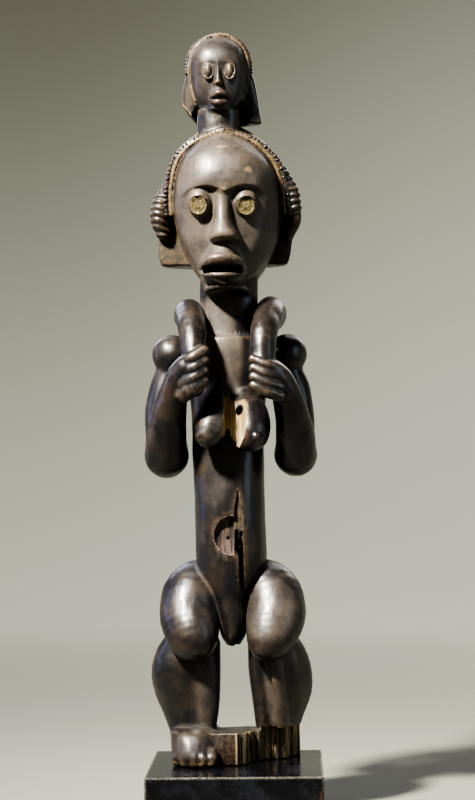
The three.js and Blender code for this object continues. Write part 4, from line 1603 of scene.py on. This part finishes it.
def normals_of(mesh: bpy.types.Mesh) -> Array:
    """Point normals of a mesh as rows."""
    flat = np.empty(len(mesh.vertices) * 3, np.float32)
    mesh.vertex_normals.foreach_get("vector", flat)
    return flat.reshape(-1, 3).astype(float)


def give(mesh: bpy.types.Mesh, name: str, values: Array) -> None:
    """Writes a value for each point into an attribute."""
    if name in mesh.attributes:
        mesh.attributes.remove(mesh.attributes[name])
    attribute = mesh.attributes.new(name, "FLOAT", "POINT")
    attribute.data.foreach_set("value", values.astype(np.float32))


def waves(points: Array, period: float, seed: int, count: int = 7) -> Array:
    """Smooth uneven waves, about -1 to 1.

    Args:
        points: Where they are wanted.
        period: Length of a wave.
        seed: Seed of their directions.
        count: Number of waves laid over each other.

    Returns:
        A value for each point.
    """
    rng = np.random.default_rng(seed)
    total = np.zeros(len(points))
    for _ in range(count):
        way = rng.normal(size=3)
        way /= np.linalg.norm(way)
        length = period * rng.uniform(0.7, 1.5)
        total += np.sin(points @ way * (2 * math.pi / length) + rng.uniform(0, 2 * math.pi))
    return total / math.sqrt(count)


def main_shell(points: Array, faces: Array) -> tuple[Array, Array]:
    """Keeps only the largest connected skin."""
    label = np.arange(len(points))
    while True:
        least = label[faces].min(axis=1)
        fresh = label.copy()
        np.minimum.at(fresh, faces.ravel(), np.repeat(least, faces.shape[1]))
        fresh = fresh[fresh]
        fresh = fresh[fresh]
        if np.array_equal(fresh, label):
            break
        label = fresh
    kept = np.bincount(label).argmax()
    keep = label == kept
    number = np.cumsum(keep) - 1
    return points[keep], number[faces[keep[faces[:, 0]]]]


@dataclass
class CarvedFigure:
    """The whole figure, carved from one block of wood.

    Attributes:
        node: The solid that it stands for.
        triangles: Most triangles that its skin may have.
        fine: Spacing of the field when all is made finely.
        coarse: A coarser spacing of the field, not used.
    """

    node: str = "carved_figure"
    triangles: int = 186000
    fine: float = 1.0
    coarse: float = 1.5
    hips: Hips = field(default_factory=Hips)
    foot: FootBlock = field(default_factory=FootBlock)
    trunk: Trunk = field(default_factory=Trunk)
    arms: tuple[Arm, Arm] = field(default_factory=lambda: (left_arm(), right_arm()))
    roll: Roll = field(default_factory=Roll)
    head: GreatHead = field(default_factory=GreatHead)
    small_head: SmallHead = field(default_factory=SmallHead)

    def carve(self) -> WoodBlock:
        """Carves the figure.

        Returns:
            The carved block.
        """
        step = self.fine
        block = WoodBlock((-86.0, -78.0, -6.0), (84.0, 66.0, 654.0), step)
        for part in (self.foot, self.hips, self.trunk, *self.arms, self.roll, self.head, self.small_head):
            part.carve(block)
        for arm in self.arms:
            arm.grip(block)
        for part in (self.trunk, self.head, self.small_head, self.foot):
            part.lose(block)
        return block

    def skin(self, block: WoodBlock) -> bpy.types.Mesh:
        """Lays the skin over the carving, thinned out where it is plain."""
        points, faces = main_shell(*block.skin())
        mesh = mesh_of("figure_skin", points, faces)
        holder = bpy.data.objects.new("figure_skin", mesh)
        bpy.context.scene.collection.objects.link(holder)
        thin = holder.modifiers.new("thin", "DECIMATE")
        thin.ratio = min(1.0, self.triangles / (2 * len(faces)))
        result = plain_mesh(holder, "figure_wood")
        bpy.data.objects.remove(holder)
        return result

    def mark(self, mesh: bpy.types.Mesh, block: WoodBlock) -> None:
        """Writes where the wood is worn, sunk, stained or broken, and where shade and light are painted, into
        attributes of the mesh.
        """
        points = coordinates(mesh)
        near, wide = block.blurred(1.6), block.blurred(6.0)
        bend, deep = block.sample(near, points), block.sample(wide, points)
        give(mesh, "edge", smoothstep(0.12, 0.55, bend))
        give(mesh, "crevice", smoothstep(0.10, 0.5, -bend))
        give(mesh, "hollow", smoothstep(0.2, 3.2, -deep))
        for bares in Bare:
            total = np.zeros(len(points))
            for stain in block.stains:
                if stain.bares is bares:
                    gap = stain.form.distance(*points.T)
                    total = np.maximum(total, stain.strength * (1 - smoothstep(0.2 * stain.reach, stain.reach, gap)))
            give(mesh, bares.value, total)

    def hand_work(self, mesh: bpy.types.Mesh) -> None:
        """Moves the skin a little, as the carver's blade left it."""
        points, normals = coordinates(mesh), normals_of(mesh)
        push = 0.22 * waves(points, 21.0, 3) + 0.10 * waves(points, 9.0, 5)
        moved = points + normals * push[:, None]
        mesh.vertices.foreach_set("co", in_place(moved).astype(np.float32).ravel())
        mesh.update()

    def rows(self) -> list[CarvedRow]:
        """Rows of small grains on both heads."""
        great = self.head.band.path(self.head.face)
        small = self.small_head.band.path(self.small_head.face)
        rows = []
        for path, out, ahead, spacing, size in (
            (great, 0.6, -0.9, 3.9, (2.3, 2.5, 1.35)),
            (small, 0.4, -0.5, 2.9, (1.7, 1.9, 1.0)),
        ):
            middle = np.array(path).mean(axis=0)
            rows_out = [
                (x + out * np.sign(x - middle[0]) * min(abs(x - middle[0]) / 20, 1), y + ahead, z + out * 0.4)
                for x, y, z, _ in through(path, 60)
            ]
            rows.append(CarvedRow(rows_out, spacing, size, seed=11))
        for mouth, count, height in ((self.head.mouth, 11, 1.7), (self.small_head.mouth, 4, 1.1)):
            width = 2 * mouth.half / count
            rows.append(CarvedRow(mouth.teeth(), width, (height, 1.4, width * 0.42), 0.12, 0.1, 5))
        return rows

    def build(self, tree: bpy.types.NodeTree, finish: bpy.types.Material) -> bpy.types.Object:
        """Builds the figure as one piece.

        Args:
            tree: The Geometry Nodes tree of carved rows.
            finish: Material of the wood.

        Returns:
            The piece, in the shared frame.
        """
        block = self.carve()
        mesh = self.skin(block)
        self.mark(mesh, block)
        self.hand_work(mesh)
        mesh.materials.clear()
        mesh.materials.append(finish)
        extra = [row.mesh(tree, finish) for row in self.rows()]
        piece = bpy.data.objects.new("figure_wood", joined([mesh, *extra], "figure_wood"))
        bpy.context.scene.collection.objects.link(piece)
        piece.data.shade_smooth()
        return piece


def joined(meshes: Sequence[bpy.types.Mesh], name: str) -> bpy.types.Mesh:
    """One mesh of several, with the first one's attributes and material."""
    work = bmesh.new()
    for mesh in meshes:
        work.from_mesh(mesh)
    bmesh.ops.triangulate(work, faces=work.faces)
    for face in work.faces:
        face.material_index = 0
        face.smooth = True
    work.to_mesh(meshes[0])
    work.free()
    meshes[0].name = name
    return meshes[0]


# Finishes


def group_tree(name: str, inputs: dict[str, tuple[str, object]], outputs: dict[str, str]) -> NodeBench:
    """Starts a shader node group.

    Args:
        name: Its name.
        inputs: Kind and first value of each input socket.
        outputs: Kind of each output socket.

    Returns:
        A bench over the new tree.
    """
    bench = NodeBench(bpy.data.node_groups.new(name, "ShaderNodeTree"))
    for label, (kind, value) in inputs.items():
        bench.socket(label, "INPUT", kind, value)
    for label, kind in outputs.items():
        bench.socket(label, "OUTPUT", kind)
    return bench


def grain_group() -> bpy.types.NodeTree:
    """Grain of wood along Z: long streaks, fine pores, and slow clouds."""
    bench = group_tree(
        "wood_grain",
        {"Scale": ("NodeSocketFloat", 1.0), "Stretch": ("NodeSocketFloat", 0.06)},
        {"Streaks": "NodeSocketFloat", "Pores": "NodeSocketFloat", "Clouds": "NodeSocketFloat"},
    )
    given = bench.add("NodeGroupInput").outputs
    place = bench.add("ShaderNodeTexCoord").outputs["Object"]
    squeeze = bench.add("ShaderNodeCombineXYZ", {"X": 1.0, "Y": 1.0, "Z": given["Stretch"]})
    long = bench.add(
        "ShaderNodeVectorMath", {0: place, 1: squeeze.outputs[0]}, operation="MULTIPLY"
    ).outputs[0]
    streaks = bench.add(
        "ShaderNodeTexNoise",
        {"Vector": long, "Scale": bench.math("MULTIPLY", given["Scale"], 420.0), "Detail": 4.0, "Roughness": 0.6},
    )
    pores = bench.add(
        "ShaderNodeTexNoise",
        {"Vector": long, "Scale": bench.math("MULTIPLY", given["Scale"], 1500.0), "Detail": 2.0},
    )
    clouds = bench.add(
        "ShaderNodeTexNoise",
        {"Vector": place, "Scale": bench.math("MULTIPLY", given["Scale"], 38.0), "Detail": 5.0, "Roughness": 0.62},
    )
    bench.add(
        "NodeGroupOutput",
        {"Streaks": streaks.outputs[0], "Pores": pores.outputs[0], "Clouds": clouds.outputs[0]},
    )
    return bench.tree


def fleck_group() -> bpy.types.NodeTree:
    """Uneven flecks and scuffs whose amount can be set."""
    bench = group_tree(
        "flecks",
        {
            "Scale": ("NodeSocketFloat", 300.0),
            "Amount": ("NodeSocketFloat", 0.5),
            "Sharpness": ("NodeSocketFloat", 0.1),
        },
        {"Mask": "NodeSocketFloat"},
    )
    given = bench.add("NodeGroupInput").outputs
    place = bench.add("ShaderNodeTexCoord").outputs["Object"]
    spots = bench.add(
        "ShaderNodeTexNoise", {"Vector": place, "Scale": given["Scale"], "Detail": 6.0, "Roughness": 0.7}
    ).outputs[0]
    level = bench.math("SUBTRACT", 1.0, given["Amount"])
    low = bench.math("SUBTRACT", level, given["Sharpness"])
    high = bench.math("ADD", level, given["Sharpness"])
    mask = bench.add(
        "ShaderNodeMapRange",
        {"Value": spots, "From Min": low, "From Max": high},
        interpolation_type="SMOOTHSTEP",
    )
    bench.add("NodeGroupOutput", {"Mask": mask.outputs[0]})
    return bench.tree


@dataclass(frozen=True)
class SharedGroups:
    """Shader groups that several finishes use."""

    grain: bpy.types.NodeTree
    flecks: bpy.types.NodeTree


def use_group(bench: NodeBench, group: bpy.types.NodeTree, inputs: dict[str, object]) -> bpy.types.Node:
    """Places a shader group in a material and feeds its inputs."""
    node = bench.add("ShaderNodeGroup", None, node_tree=group)
    for name, value in inputs.items():
        bench.feed(node.inputs[name], value)
    return node


def new_material(name: str) -> tuple[bpy.types.Material, NodeBench, bpy.types.Node]:
    """Starts a material.

    Args:
        name: Its name.

    Returns:
        The material, a bench over its nodes, and its surface shader.
    """
    material = bpy.data.materials.new(name)
    material.use_nodes = True
    bench = NodeBench(material.node_tree)
    return material, bench, material.node_tree.nodes["Principled BSDF"]


@dataclass(frozen=True)
class DarkWood:
    """Old, handled, oiled wood, nearly black, ochre in its creases and tan where it is broken, with painted shade in
    its holes and a painted highlight on its worn, lit faces.
    """

    name: str = "dark_wood"
    deep: Key = (0.0050, 0.0048, 0.0058, 1)
    brown: Key = (0.022, 0.0145, 0.0105, 1)
    # Paler worn colour, also the painted highlight of the lit faces.
    greyed_and_lit: Key = (0.070, 0.056, 0.043, 1)
    rubbed: Key = (0.085, 0.056, 0.034, 1)
    ochre: Key = (0.165, 0.110, 0.042, 1)
    tan: Key = (0.24, 0.18, 0.09, 1)
    split: Key = (0.014, 0.009, 0.006, 1)
    scuffed: Key = (0.085, 0.055, 0.044, 1)
    earthy: Key = (0.048, 0.031, 0.011, 1)
    pale: Key = (0.27, 0.215, 0.125, 1)
    coat: float = 0.12
    coat_roughness: float = 0.22

    def material(self, groups: SharedGroups) -> bpy.types.Material:
        """Builds the finish."""
        material, bench, surface = new_material(self.name)
        grain = use_group(bench, groups.grain, {"Scale": 1.0, "Stretch": 0.07}).outputs
        marks = {
            name: bench.add("ShaderNodeAttribute", attribute_name=name).outputs["Fac"]
            for name in ("edge", "crevice", "hollow", *(bares.value for bares in Bare))
        }
        flecks = use_group(bench, groups.flecks, {"Scale": 260.0, "Amount": 0.52, "Sharpness": 0.12}).outputs[0]
        colour = bench.mix(bench.ramp(grain["Clouds"], 0.42, 0.68), self.deep, self.brown)
        streak = bench.math("MULTIPLY", bench.ramp(grain["Streaks"], 0.5, 0.72), 0.35)
        colour = bench.mix(streak, colour, self.brown)
        # Worn, greyed patina, which also paints a highlight on the lit faces where the worn places lie.
        share = bench.math("ADD", 0.30, bench.math("MULTIPLY", bench.ramp(grain["Clouds"], 0.36, 0.62), 0.45))
        share = bench.math("ADD", share, bench.math("MULTIPLY", flecks, 0.25))
        colour = bench.mix(bench.math("MULTIPLY", marks["worn"], share), colour, self.greyed_and_lit)
        worn = bench.math("MULTIPLY", marks["edge"], bench.math("MULTIPLY", flecks, 0.6))
        colour = bench.mix(worn, colour, self.rubbed)
        creased = bench.math("MULTIPLY", marks["crevice"], bench.ramp(grain["Clouds"], 0.42, 0.66))
        colour = bench.mix(bench.math("MULTIPLY", creased, 0.35), colour, self.rubbed)
        warm = bench.math("MULTIPLY", marks["ochre"], bench.math("ADD", 0.35, bench.math("MULTIPLY", flecks, 0.65)))
        colour = bench.mix(warm, colour, self.ochre)
        lines = bench.ramp(grain["Streaks"], 0.44, 0.56)
        colour = bench.mix(marks["raw"], colour, bench.mix(lines, self.split, self.tan))
        colour = bench.mix(marks["scuffed"], colour, bench.mix(lines, self.split, self.scuffed))
        colour = bench.mix(marks["earthy"], colour, bench.mix(flecks, self.deep, self.earthy))
        colour = bench.mix(marks["pale"], colour, bench.mix(lines, self.ochre, self.pale))
        # Painted shade: near-black where holes, sockets, cracks and mouths lie in shade.
        colour = bench.mix(bench.math("MULTIPLY", marks["dark"], 0.9), colour, (0.004, 0.003, 0.003, 1))
        bench.feed(surface.inputs["Base Color"], colour)
        gloss = bench.math("ADD", 0.27, bench.math("MULTIPLY", grain["Clouds"], 0.24))
        gloss = bench.math("ADD", gloss, bench.math("MULTIPLY", marks["worn"], 0.10))
        dull = marks["crevice"]
        for name in ("ochre", "raw", "scuffed", "earthy", "pale", "dark"):
            dull = bench.math("MAXIMUM", dull, marks[name])
        rough = bench.math("ADD", gloss, bench.math("MULTIPLY", dull, 0.4), clamp=True)
        bench.feed(surface.inputs["Roughness"], rough)
        surface.inputs["Coat Roughness"].default_value = self.coat_roughness
        bench.feed(surface.inputs["Coat Weight"], bench.math("MULTIPLY", bench.math("SUBTRACT", 1.0, dull), self.coat))
        height = bench.math("ADD", bench.math("MULTIPLY", grain["Streaks"], 0.8), bench.math("MULTIPLY", grain["Pores"], 0.3))
        height = bench.math("MULTIPLY", height, bench.math("ADD", 0.6, bench.math("MULTIPLY", dull, 1.8)))
        bump = bench.add("ShaderNodeBump", {"Height": height, "Strength": 0.5, "Distance": 0.0007})
        bench.feed(surface.inputs["Normal"], bump.outputs[0])
        return material


@dataclass(frozen=True)
class RoundMetal:
    """Thin beaten metal, brassy, with a dull crust and pale flecks."""

    name: str = "disc_metal"
    brass: Key = (0.15, 0.115, 0.045, 1)
    crust: Key = (0.065, 0.052, 0.024, 1)
    fleck: Key = (0.42, 0.38, 0.24, 1)

    def material(self, groups: SharedGroups) -> bpy.types.Material:
        """Builds the finish."""
        material, bench, surface = new_material(self.name)
        crust = use_group(bench, groups.flecks, {"Scale": 420.0, "Amount": 0.55, "Sharpness": 0.10}).outputs[0]
        bright = use_group(bench, groups.flecks, {"Scale": 900.0, "Amount": 0.36, "Sharpness": 0.04}).outputs[0]
        colour = bench.mix(crust, self.brass, self.crust)
        colour = bench.mix(bright, colour, self.fleck)
        bench.feed(surface.inputs["Base Color"], colour)
        surface.inputs["Metallic"].default_value = 0.55
        bench.feed(surface.inputs["Roughness"], bench.math("ADD", 0.38, bench.math("MULTIPLY", crust, 0.35)))
        bump = bench.add("ShaderNodeBump", {"Height": crust, "Strength": 0.6, "Distance": 0.0005})
        bench.feed(surface.inputs["Normal"], bump.outputs[0])
        return material


@dataclass(frozen=True)
class BlackLacquer:
    """Polished black lacquer with cloudy scuffs, rubbed lighter along its edges."""

    name: str = "black_lacquer"
    black: Key = (0.0045, 0.0045, 0.0055, 1)
    scuff: Key = (0.045, 0.050, 0.075, 1)
    rubbed: Key = (0.16, 0.15, 0.13, 1)
    chipped: Key = (0.05, 0.022, 0.012, 1)
    shine: float = 0.3

    def material(self, groups: SharedGroups) -> bpy.types.Material:
        """Builds the finish."""
        material, bench, surface = new_material(self.name)
        clouds = use_group(bench, groups.flecks, {"Scale": 34.0, "Amount": 0.44, "Sharpness": 0.14}).outputs[0]
        fine = use_group(bench, groups.flecks, {"Scale": 700.0, "Amount": 0.5, "Sharpness": 0.2}).outputs[0]
        edge = bench.add("ShaderNodeAttribute", attribute_name="edge").outputs["Fac"]
        chip = bench.add("ShaderNodeAttribute", attribute_name="chip").outputs["Fac"]
        cloudy = bench.math("MULTIPLY", clouds, bench.math("ADD", 0.1, bench.math("MULTIPLY", fine, 0.35)))
        colour = bench.mix(cloudy, self.black, self.scuff)
        colour = bench.mix(bench.math("MULTIPLY", edge, fine), colour, self.rubbed)
        colour = bench.mix(chip, colour, self.chipped)
        bench.feed(surface.inputs["Base Color"], colour)
        surface.inputs["Specular IOR Level"].default_value = self.shine
        rough = bench.math("ADD", 0.10, bench.math("MULTIPLY", clouds, 0.16))
        rough = bench.math("ADD", rough, bench.math("MULTIPLY", chip, 0.5), clamp=True)
        bench.feed(surface.inputs["Roughness"], rough)
        bump = bench.add("ShaderNodeBump", {"Height": fine, "Strength": 0.04, "Distance": 0.0003})
        bench.feed(surface.inputs["Normal"], bump.outputs[0])
        return material


# Eye discs and plinth


@dataclass
class EyeDisc:
    """Round metal disc in an eye: rolled rim, sunk ring, low boss.

    Attributes:
        eye: The eye that it sits in.
        node: The solid that it stands for.
        rings: Radius and height of each ring, as shares of radius and thickness.
        sides: Number of sides.
        dent: Depth of the hammer's dents in millimetres.
    """

    eye: Eye
    node: str
    rings: Sequence[tuple[float, float]] = (
        (0.90, -1.0), (0.99, -0.7), (1.0, 0.2), (0.97, 0.8), (0.92, 1.0), (0.86, 0.75), (0.78, 0.35), (0.6, 0.25),
        (0.42, 0.35), (0.28, 0.6), (0.14, 0.8),
    )
    sides: int = 64
    dent: float = 0.12

    def build(self, finish: bpy.types.Material) -> bpy.types.Object:
        """Builds the disc as a closed lathe form in its socket."""
        radius, half = self.eye.radius, self.eye.thickness / 2
        turn = Vector((0, 0, 1)).rotation_difference(Vector(self.eye.facing).normalized()).to_matrix()
        points, faces = [(0.0, 0.0, -half)], []
        for share, level in self.rings:
            for side in range(self.sides):
                angle = 2 * math.pi * side / self.sides
                points.append((radius * share * math.cos(angle), radius * share * math.sin(angle), half * level))
        points.append((0.0, 0.0, half * 0.85))
        table = np.array(points)
        dents = waves(table, 3.6, 9) * self.dent
        table[:, 2] = np.where(table[:, 2] > 0, np.minimum(table[:, 2] + dents, half), table[:, 2])
        last = len(self.rings) - 1
        for side in range(self.sides):
            ahead = (side + 1) % self.sides
            faces.append((0, 1 + ahead, 1 + side))
            for ring in range(last):
                a, b = 1 + ring * self.sides, 1 + (ring + 1) * self.sides
                faces.append((a + side, a + ahead, b + ahead))
                faces.append((a + side, b + ahead, b + side))
            top = 1 + last * self.sides
            faces.append((top + side, top + ahead, len(points) - 1))
        placed = table @ np.array(turn).T + np.array(self.eye.centre())
        mesh = mesh_of(self.node, in_place(placed), np.array(faces))
        mesh.materials.append(finish)
        mesh.shade_smooth()
        piece = bpy.data.objects.new(self.node.replace("_disc", "_metal"), mesh)
        bpy.context.scene.collection.objects.link(piece)
        return piece


@dataclass
class Plinth:
    """Square black plinth with softened edges, rubbed along the top and chipped at a corner.

    Attributes:
        node: The solid that it stands for.
        bevel: Width of its softened edges in metres.
        corner: Rounding of its upright edges in metres.
        chip: Place of the chip, as shares of the half width, half depth and height.
        chip_reach: Size of the chip in metres.
    """

    node: str = "plinth"
    bevel: float = 0.0012
    corner: float = 0.0016
    cells: int = 60
    levels: int = 20
    chip: Vec3 = (0.985, -1.0, 0.62)
    chip_reach: float = 0.004

    def build(self, finish: bpy.types.Material) -> bpy.types.Object:
        """Builds the plinth inside its solid's box."""
        low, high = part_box(self.node)
        size = high - low
        work = bmesh.new()
        bmesh.ops.create_cube(work, size=1.0, matrix=Matrix.Translation((low + high) / 2) @ Matrix.Diagonal((*size, 1)))
        upright = [edge for edge in work.edges if abs(edge.verts[0].co.z - edge.verts[1].co.z) > size.z / 2]
        bmesh.ops.bevel(work, geom=upright, offset=self.corner, segments=4, affect="EDGES", profile=0.5)
        level = [edge for edge in work.edges if abs(edge.verts[0].co.z - edge.verts[1].co.z) < MM and len(edge.link_faces) == 2
                 and abs(edge.link_faces[0].normal.z - edge.link_faces[1].normal.z) > 0.5]
        bmesh.ops.bevel(work, geom=level, offset=self.bevel, segments=3, affect="EDGES", profile=0.5)
        for axis, count in ((0, self.cells), (1, self.cells), (2, self.levels)):
            way = Vector([1.0 if index == axis else 0.0 for index in range(3)])
            for cut in range(1, count):
                place = Vector(low)
                place[axis] = low[axis] + size[axis] * cut / count
                bmesh.ops.bisect_plane(work, geom=work.verts[:] + work.edges[:] + work.faces[:], plane_co=place, plane_no=way)
        bmesh.ops.remove_doubles(work, verts=work.verts, dist=1e-6)
        bmesh.ops.recalc_face_normals(work, faces=work.faces)
        mesh = bpy.data.meshes.new("plinth_block")
        work.to_mesh(mesh)
        work.free()
        self._wear(mesh, low, high)
        mesh.materials.append(finish)
        mesh.shade_smooth()
        piece = bpy.data.objects.new("plinth_block", mesh)
        bpy.context.scene.collection.objects.link(piece)
        return piece

    def _wear(self, mesh: bpy.types.Mesh, low: Vector, high: Vector) -> None:
        """Marks rubbed edges and presses the chip in."""
        points = coordinates(mesh)
        centre, half = (np.array(low) + high) / 2, (np.array(high) - low) / 2
        out = np.abs(points - centre) / half
        inset = (1 - out) * half
        inset.sort(axis=1)
        give(mesh, "edge", 1 - smoothstep(0.0008, 0.0022, inset[:, 1]))
        spot = centre + half * np.array([self.chip[0], self.chip[1], self.chip[2] * 2 - 1])
        gap = np.linalg.norm((points - spot) * np.array([1.0, 1.0, 0.55]), axis=1)
        chipped = 1 - smoothstep(0.35 * self.chip_reach, self.chip_reach, gap)
        give(mesh, "chip", chipped)
        points += (centre - points) * np.array([1.0, 1.0, 0.0]) * (chipped * 0.010)[:, None]
        mesh.vertices.foreach_set("co", points.astype(np.float32).ravel())
        mesh.update()


# Studio


@dataclass
class SoftLight:
    """Rectangular soft light that looks at the figure.

    Attributes:
        name: Its name.
        azimuth: Degrees to the right of the viewer, seen from the figure.
        elevation: Degrees above it.
        distance: Metres away.
        size: Width and height in metres.
        power: Watts.
        colour: Its tint.
        spread: Degrees over which it spreads, 180 without a grid before it.
        target: Where it looks.
    """

    name: str
    azimuth: float
    elevation: float
    distance: float
    size: tuple[float, float]
    power: float
    colour: Vec3
    spread: float = 180.0
    target: Vec3 = (0.0, 0.0, 0.36)

    def place(self) -> None:
        """Adds the light to the scene."""
        light = bpy.data.lights.new(self.name, "AREA")
        light.shape = "RECTANGLE"
        light.size, light.size_y = self.size
        light.energy = self.power
        light.color = self.colour
        light.spread = math.radians(self.spread)
        turn, rise = math.radians(self.azimuth), math.radians(self.elevation)
        way = Vector((math.sin(turn) * math.cos(rise), -math.cos(turn) * math.cos(rise), math.sin(rise)))
        lamp = bpy.data.objects.new(self.name, light)
        lamp.location = Vector(self.target) + way * self.distance
        lamp.rotation_euler = (-way).to_track_quat("-Z", "Y").to_euler()
        bpy.context.scene.collection.objects.link(lamp)


@dataclass
class Studio:
    """Camera, lights, and a pale round floor that sweeps up to a wall on all sides and glows with painted light.

    Attributes:
        place: The camera's place.
        yaw: Degrees to the left of straight ahead.
        pitch: Degrees upwards.
        roll: Degrees by which the picture is turned.
        lens: Focal length for a 36 mm wide sensor.
        opening: Radius of the sheet's open middle, which the plinth covers.
        level: Radius of its level part.
        bend: Radius of its sweep.
        height: Height of its wall.
        sides: Number of sides round it.
        tilt: How much further up the wall the pale painted glow reaches at the right than at the left.
        paper: Its colour round the figure, and a darker painted shade where it lies before the figure.
        pale: Painted glow of the sheet itself, pale low behind the figure, shaded high up, and faint in front.
        ambient: Strength of the light from all sides.
        contrast: Contrast of the picture, as Blender names it.
    """

    place: Vec3 = (0.0492, -1.6604, 0.304)
    yaw: float = 1.53
    pitch: float = 1.96
    roll: float = 0.7
    lens: float = 85.5
    opening: float = 0.02
    level: float = 3.1
    bend: float = 1.4
    height: float = 3.4
    sides: int = 96
    tilt: float = 0.74
    ambient: float = 0.02
    contrast: str = "AgX - High Contrast"
    paper: Key = (0.18, 0.18, 0.15, 1)
    painted_shade_front: Key = (0.10, 0.10, 0.09, 1)
    pale: Key = (0.47, 0.47, 0.385, 1)
    shaded: Key = (0.10, 0.097, 0.075, 1)
    painted_glow_front: Key = (0.16, 0.158, 0.13, 1)

    def camera(self) -> None:
        """Sets up the camera."""
        yaw, pitch, roll = (math.radians(angle) for angle in (self.yaw, self.pitch, self.roll))
        ahead = Vector((-math.sin(yaw) * math.cos(pitch), math.cos(yaw) * math.cos(pitch), math.sin(pitch)))
        right = Vector((math.cos(yaw), math.sin(yaw), 0.0))
        up = right.cross(ahead)
        x_axis = math.cos(roll) * right - math.sin(roll) * up
        y_axis = math.sin(roll) * right + math.cos(roll) * up
        data = bpy.data.cameras.new("viewer")
        data.lens = self.lens
        data.sensor_width = 36.0
        eye = bpy.data.objects.new("viewer", data)
        turned = Matrix((x_axis, y_axis, -ahead)).transposed().to_4x4()
        eye.matrix_world = Matrix.Translation(self.place) @ turned
        bpy.context.scene.collection.objects.link(eye)
        bpy.context.scene.camera = eye

    def floor(self) -> bpy.types.Object:
        """Builds floor and backdrop as one round sheet, which glows with painted light."""
        sweep = np.linspace(0, math.pi / 2, 17)
        reach = np.concatenate([[self.opening], self.level + self.bend * np.sin(sweep), [self.level + self.bend]])
        rise = np.concatenate([[0.0], self.bend * (1 - np.cos(sweep)), [self.height]])
        turn = np.linspace(0, 2 * math.pi, self.sides, endpoint=False)
        points = np.stack(
            [np.outer(reach, np.cos(turn)), np.outer(reach, np.sin(turn)), np.outer(rise, np.ones(self.sides))], axis=-1
        )
        ring, side = np.meshgrid(np.arange(len(reach) - 1) * self.sides, np.arange(self.sides), indexing="ij")
        after = (side + 1) % self.sides
        corners = (ring + side, ring + self.sides + side, ring + self.sides + after, ring + after)
        mesh = mesh_of("floor", points.reshape(-1, 3), np.stack(corners, axis=-1).reshape(-1, 4))
        material, bench, surface = new_material("paper")
        spot = bench.add("ShaderNodeTexCoord").outputs["Object"]
        x, y, z = bench.add("ShaderNodeSeparateXYZ", {0: spot}).outputs
        away = bench.add("ShaderNodeVectorMath", {0: spot}, operation="LENGTH").outputs["Value"]
        # Painted light: the sheet glows, pale low down and towards the right, shaded high up, faint in front, and not
        # at all close round the figure.
        height = bench.math("SUBTRACT", z, bench.math("MULTIPLY", bench.ramp(x, -1.0, 1.0), self.tilt))
        glow = bench.mix(bench.ramp(height, -0.6, 2.0), self.pale, self.shaded)
        glow = bench.mix(bench.ramp(y, -1.5, 1.0), self.painted_glow_front, glow)
        glow = bench.mix(bench.ramp(away, 0.3, 2.2), (0.0, 0.0, 0.0, 1), glow)
        # Painted shade: the floor before the figure is darker.
        bench.feed(surface.inputs["Base Color"], bench.mix(bench.ramp(y, -0.35, -0.09), self.painted_shade_front, self.paper))
        bench.feed(surface.inputs["Emission Color"], glow)
        surface.inputs["Emission Strength"].default_value = 1.0
        surface.inputs["Roughness"].default_value = 0.9
        mesh.materials.append(material)
        mesh.shade_smooth()
        floor = bpy.data.objects.new("floor", mesh)
        bpy.context.scene.collection.objects.link(floor)
        return floor

    def lights(self) -> None:
        """Places the lights."""
        for light in (
            SoftLight("key", -40, 45, 1.8, (0.17, 0.17), 22, (1.0, 0.95, 0.86), 60),
            SoftLight("side", 60, 14, 1.7, (0.35, 1.0), 2.4, (0.76, 0.88, 1.0), 120),
            SoftLight("rim", -100, 12, 1.5, (0.35, 0.9), 2.2, (0.50, 0.54, 1.0), 120),
            SoftLight("top", 180, 60, 1.8, (1.6, 0.8), 10, (1.0, 1.0, 0.92)),
            SoftLight("back left", -150, 30, 1.7, (0.6, 0.8), 3.2, (0.75, 0.80, 1.0), 120),
            SoftLight("back right", 150, 30, 1.7, (0.6, 0.8), 3.2, (1.0, 0.96, 0.90), 120),
        ):
            light.place()
        world = bpy.data.worlds.new("room")
        world.use_nodes = True
        world.node_tree.nodes["Background"].inputs["Color"].default_value = (0.62, 0.64, 0.62, 1)
        world.node_tree.nodes["Background"].inputs["Strength"].default_value = self.ambient
        bpy.context.scene.world = world
        bpy.context.scene.view_settings.look = self.contrast


def main() -> None:
    """Builds the scene."""
    logging.basicConfig(level=logging.INFO)
    studio = Studio()
    studio.camera()
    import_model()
    groups = SharedGroups(grain_group(), fleck_group())
    wood = DarkWood().material(groups)
    figure = CarvedFigure()
    eyes = (figure.head.left_eye, figure.head.right_eye)
    pieces = [(figure.build(row_tree(), wood), figure.node, "dark_wood")]
    metal = RoundMetal().material(groups)
    for eye, node in zip(eyes, ("left_eye_disc", "right_eye_disc")):
        pieces.append((EyeDisc(eye, node).build(metal), node, "disc_metal"))
    plinth = Plinth()
    pieces.append((plinth.build(BlackLacquer().material(groups)), plinth.node, "black_lacquer"))
    for piece, node, slot in pieces:
        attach(piece, BODY)
        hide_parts(node)
        LOG.info("%s: %d faces", piece.name, len(piece.data.polygons))
    studio.floor()
    studio.lights()


if __name__ == "__main__":
    main()
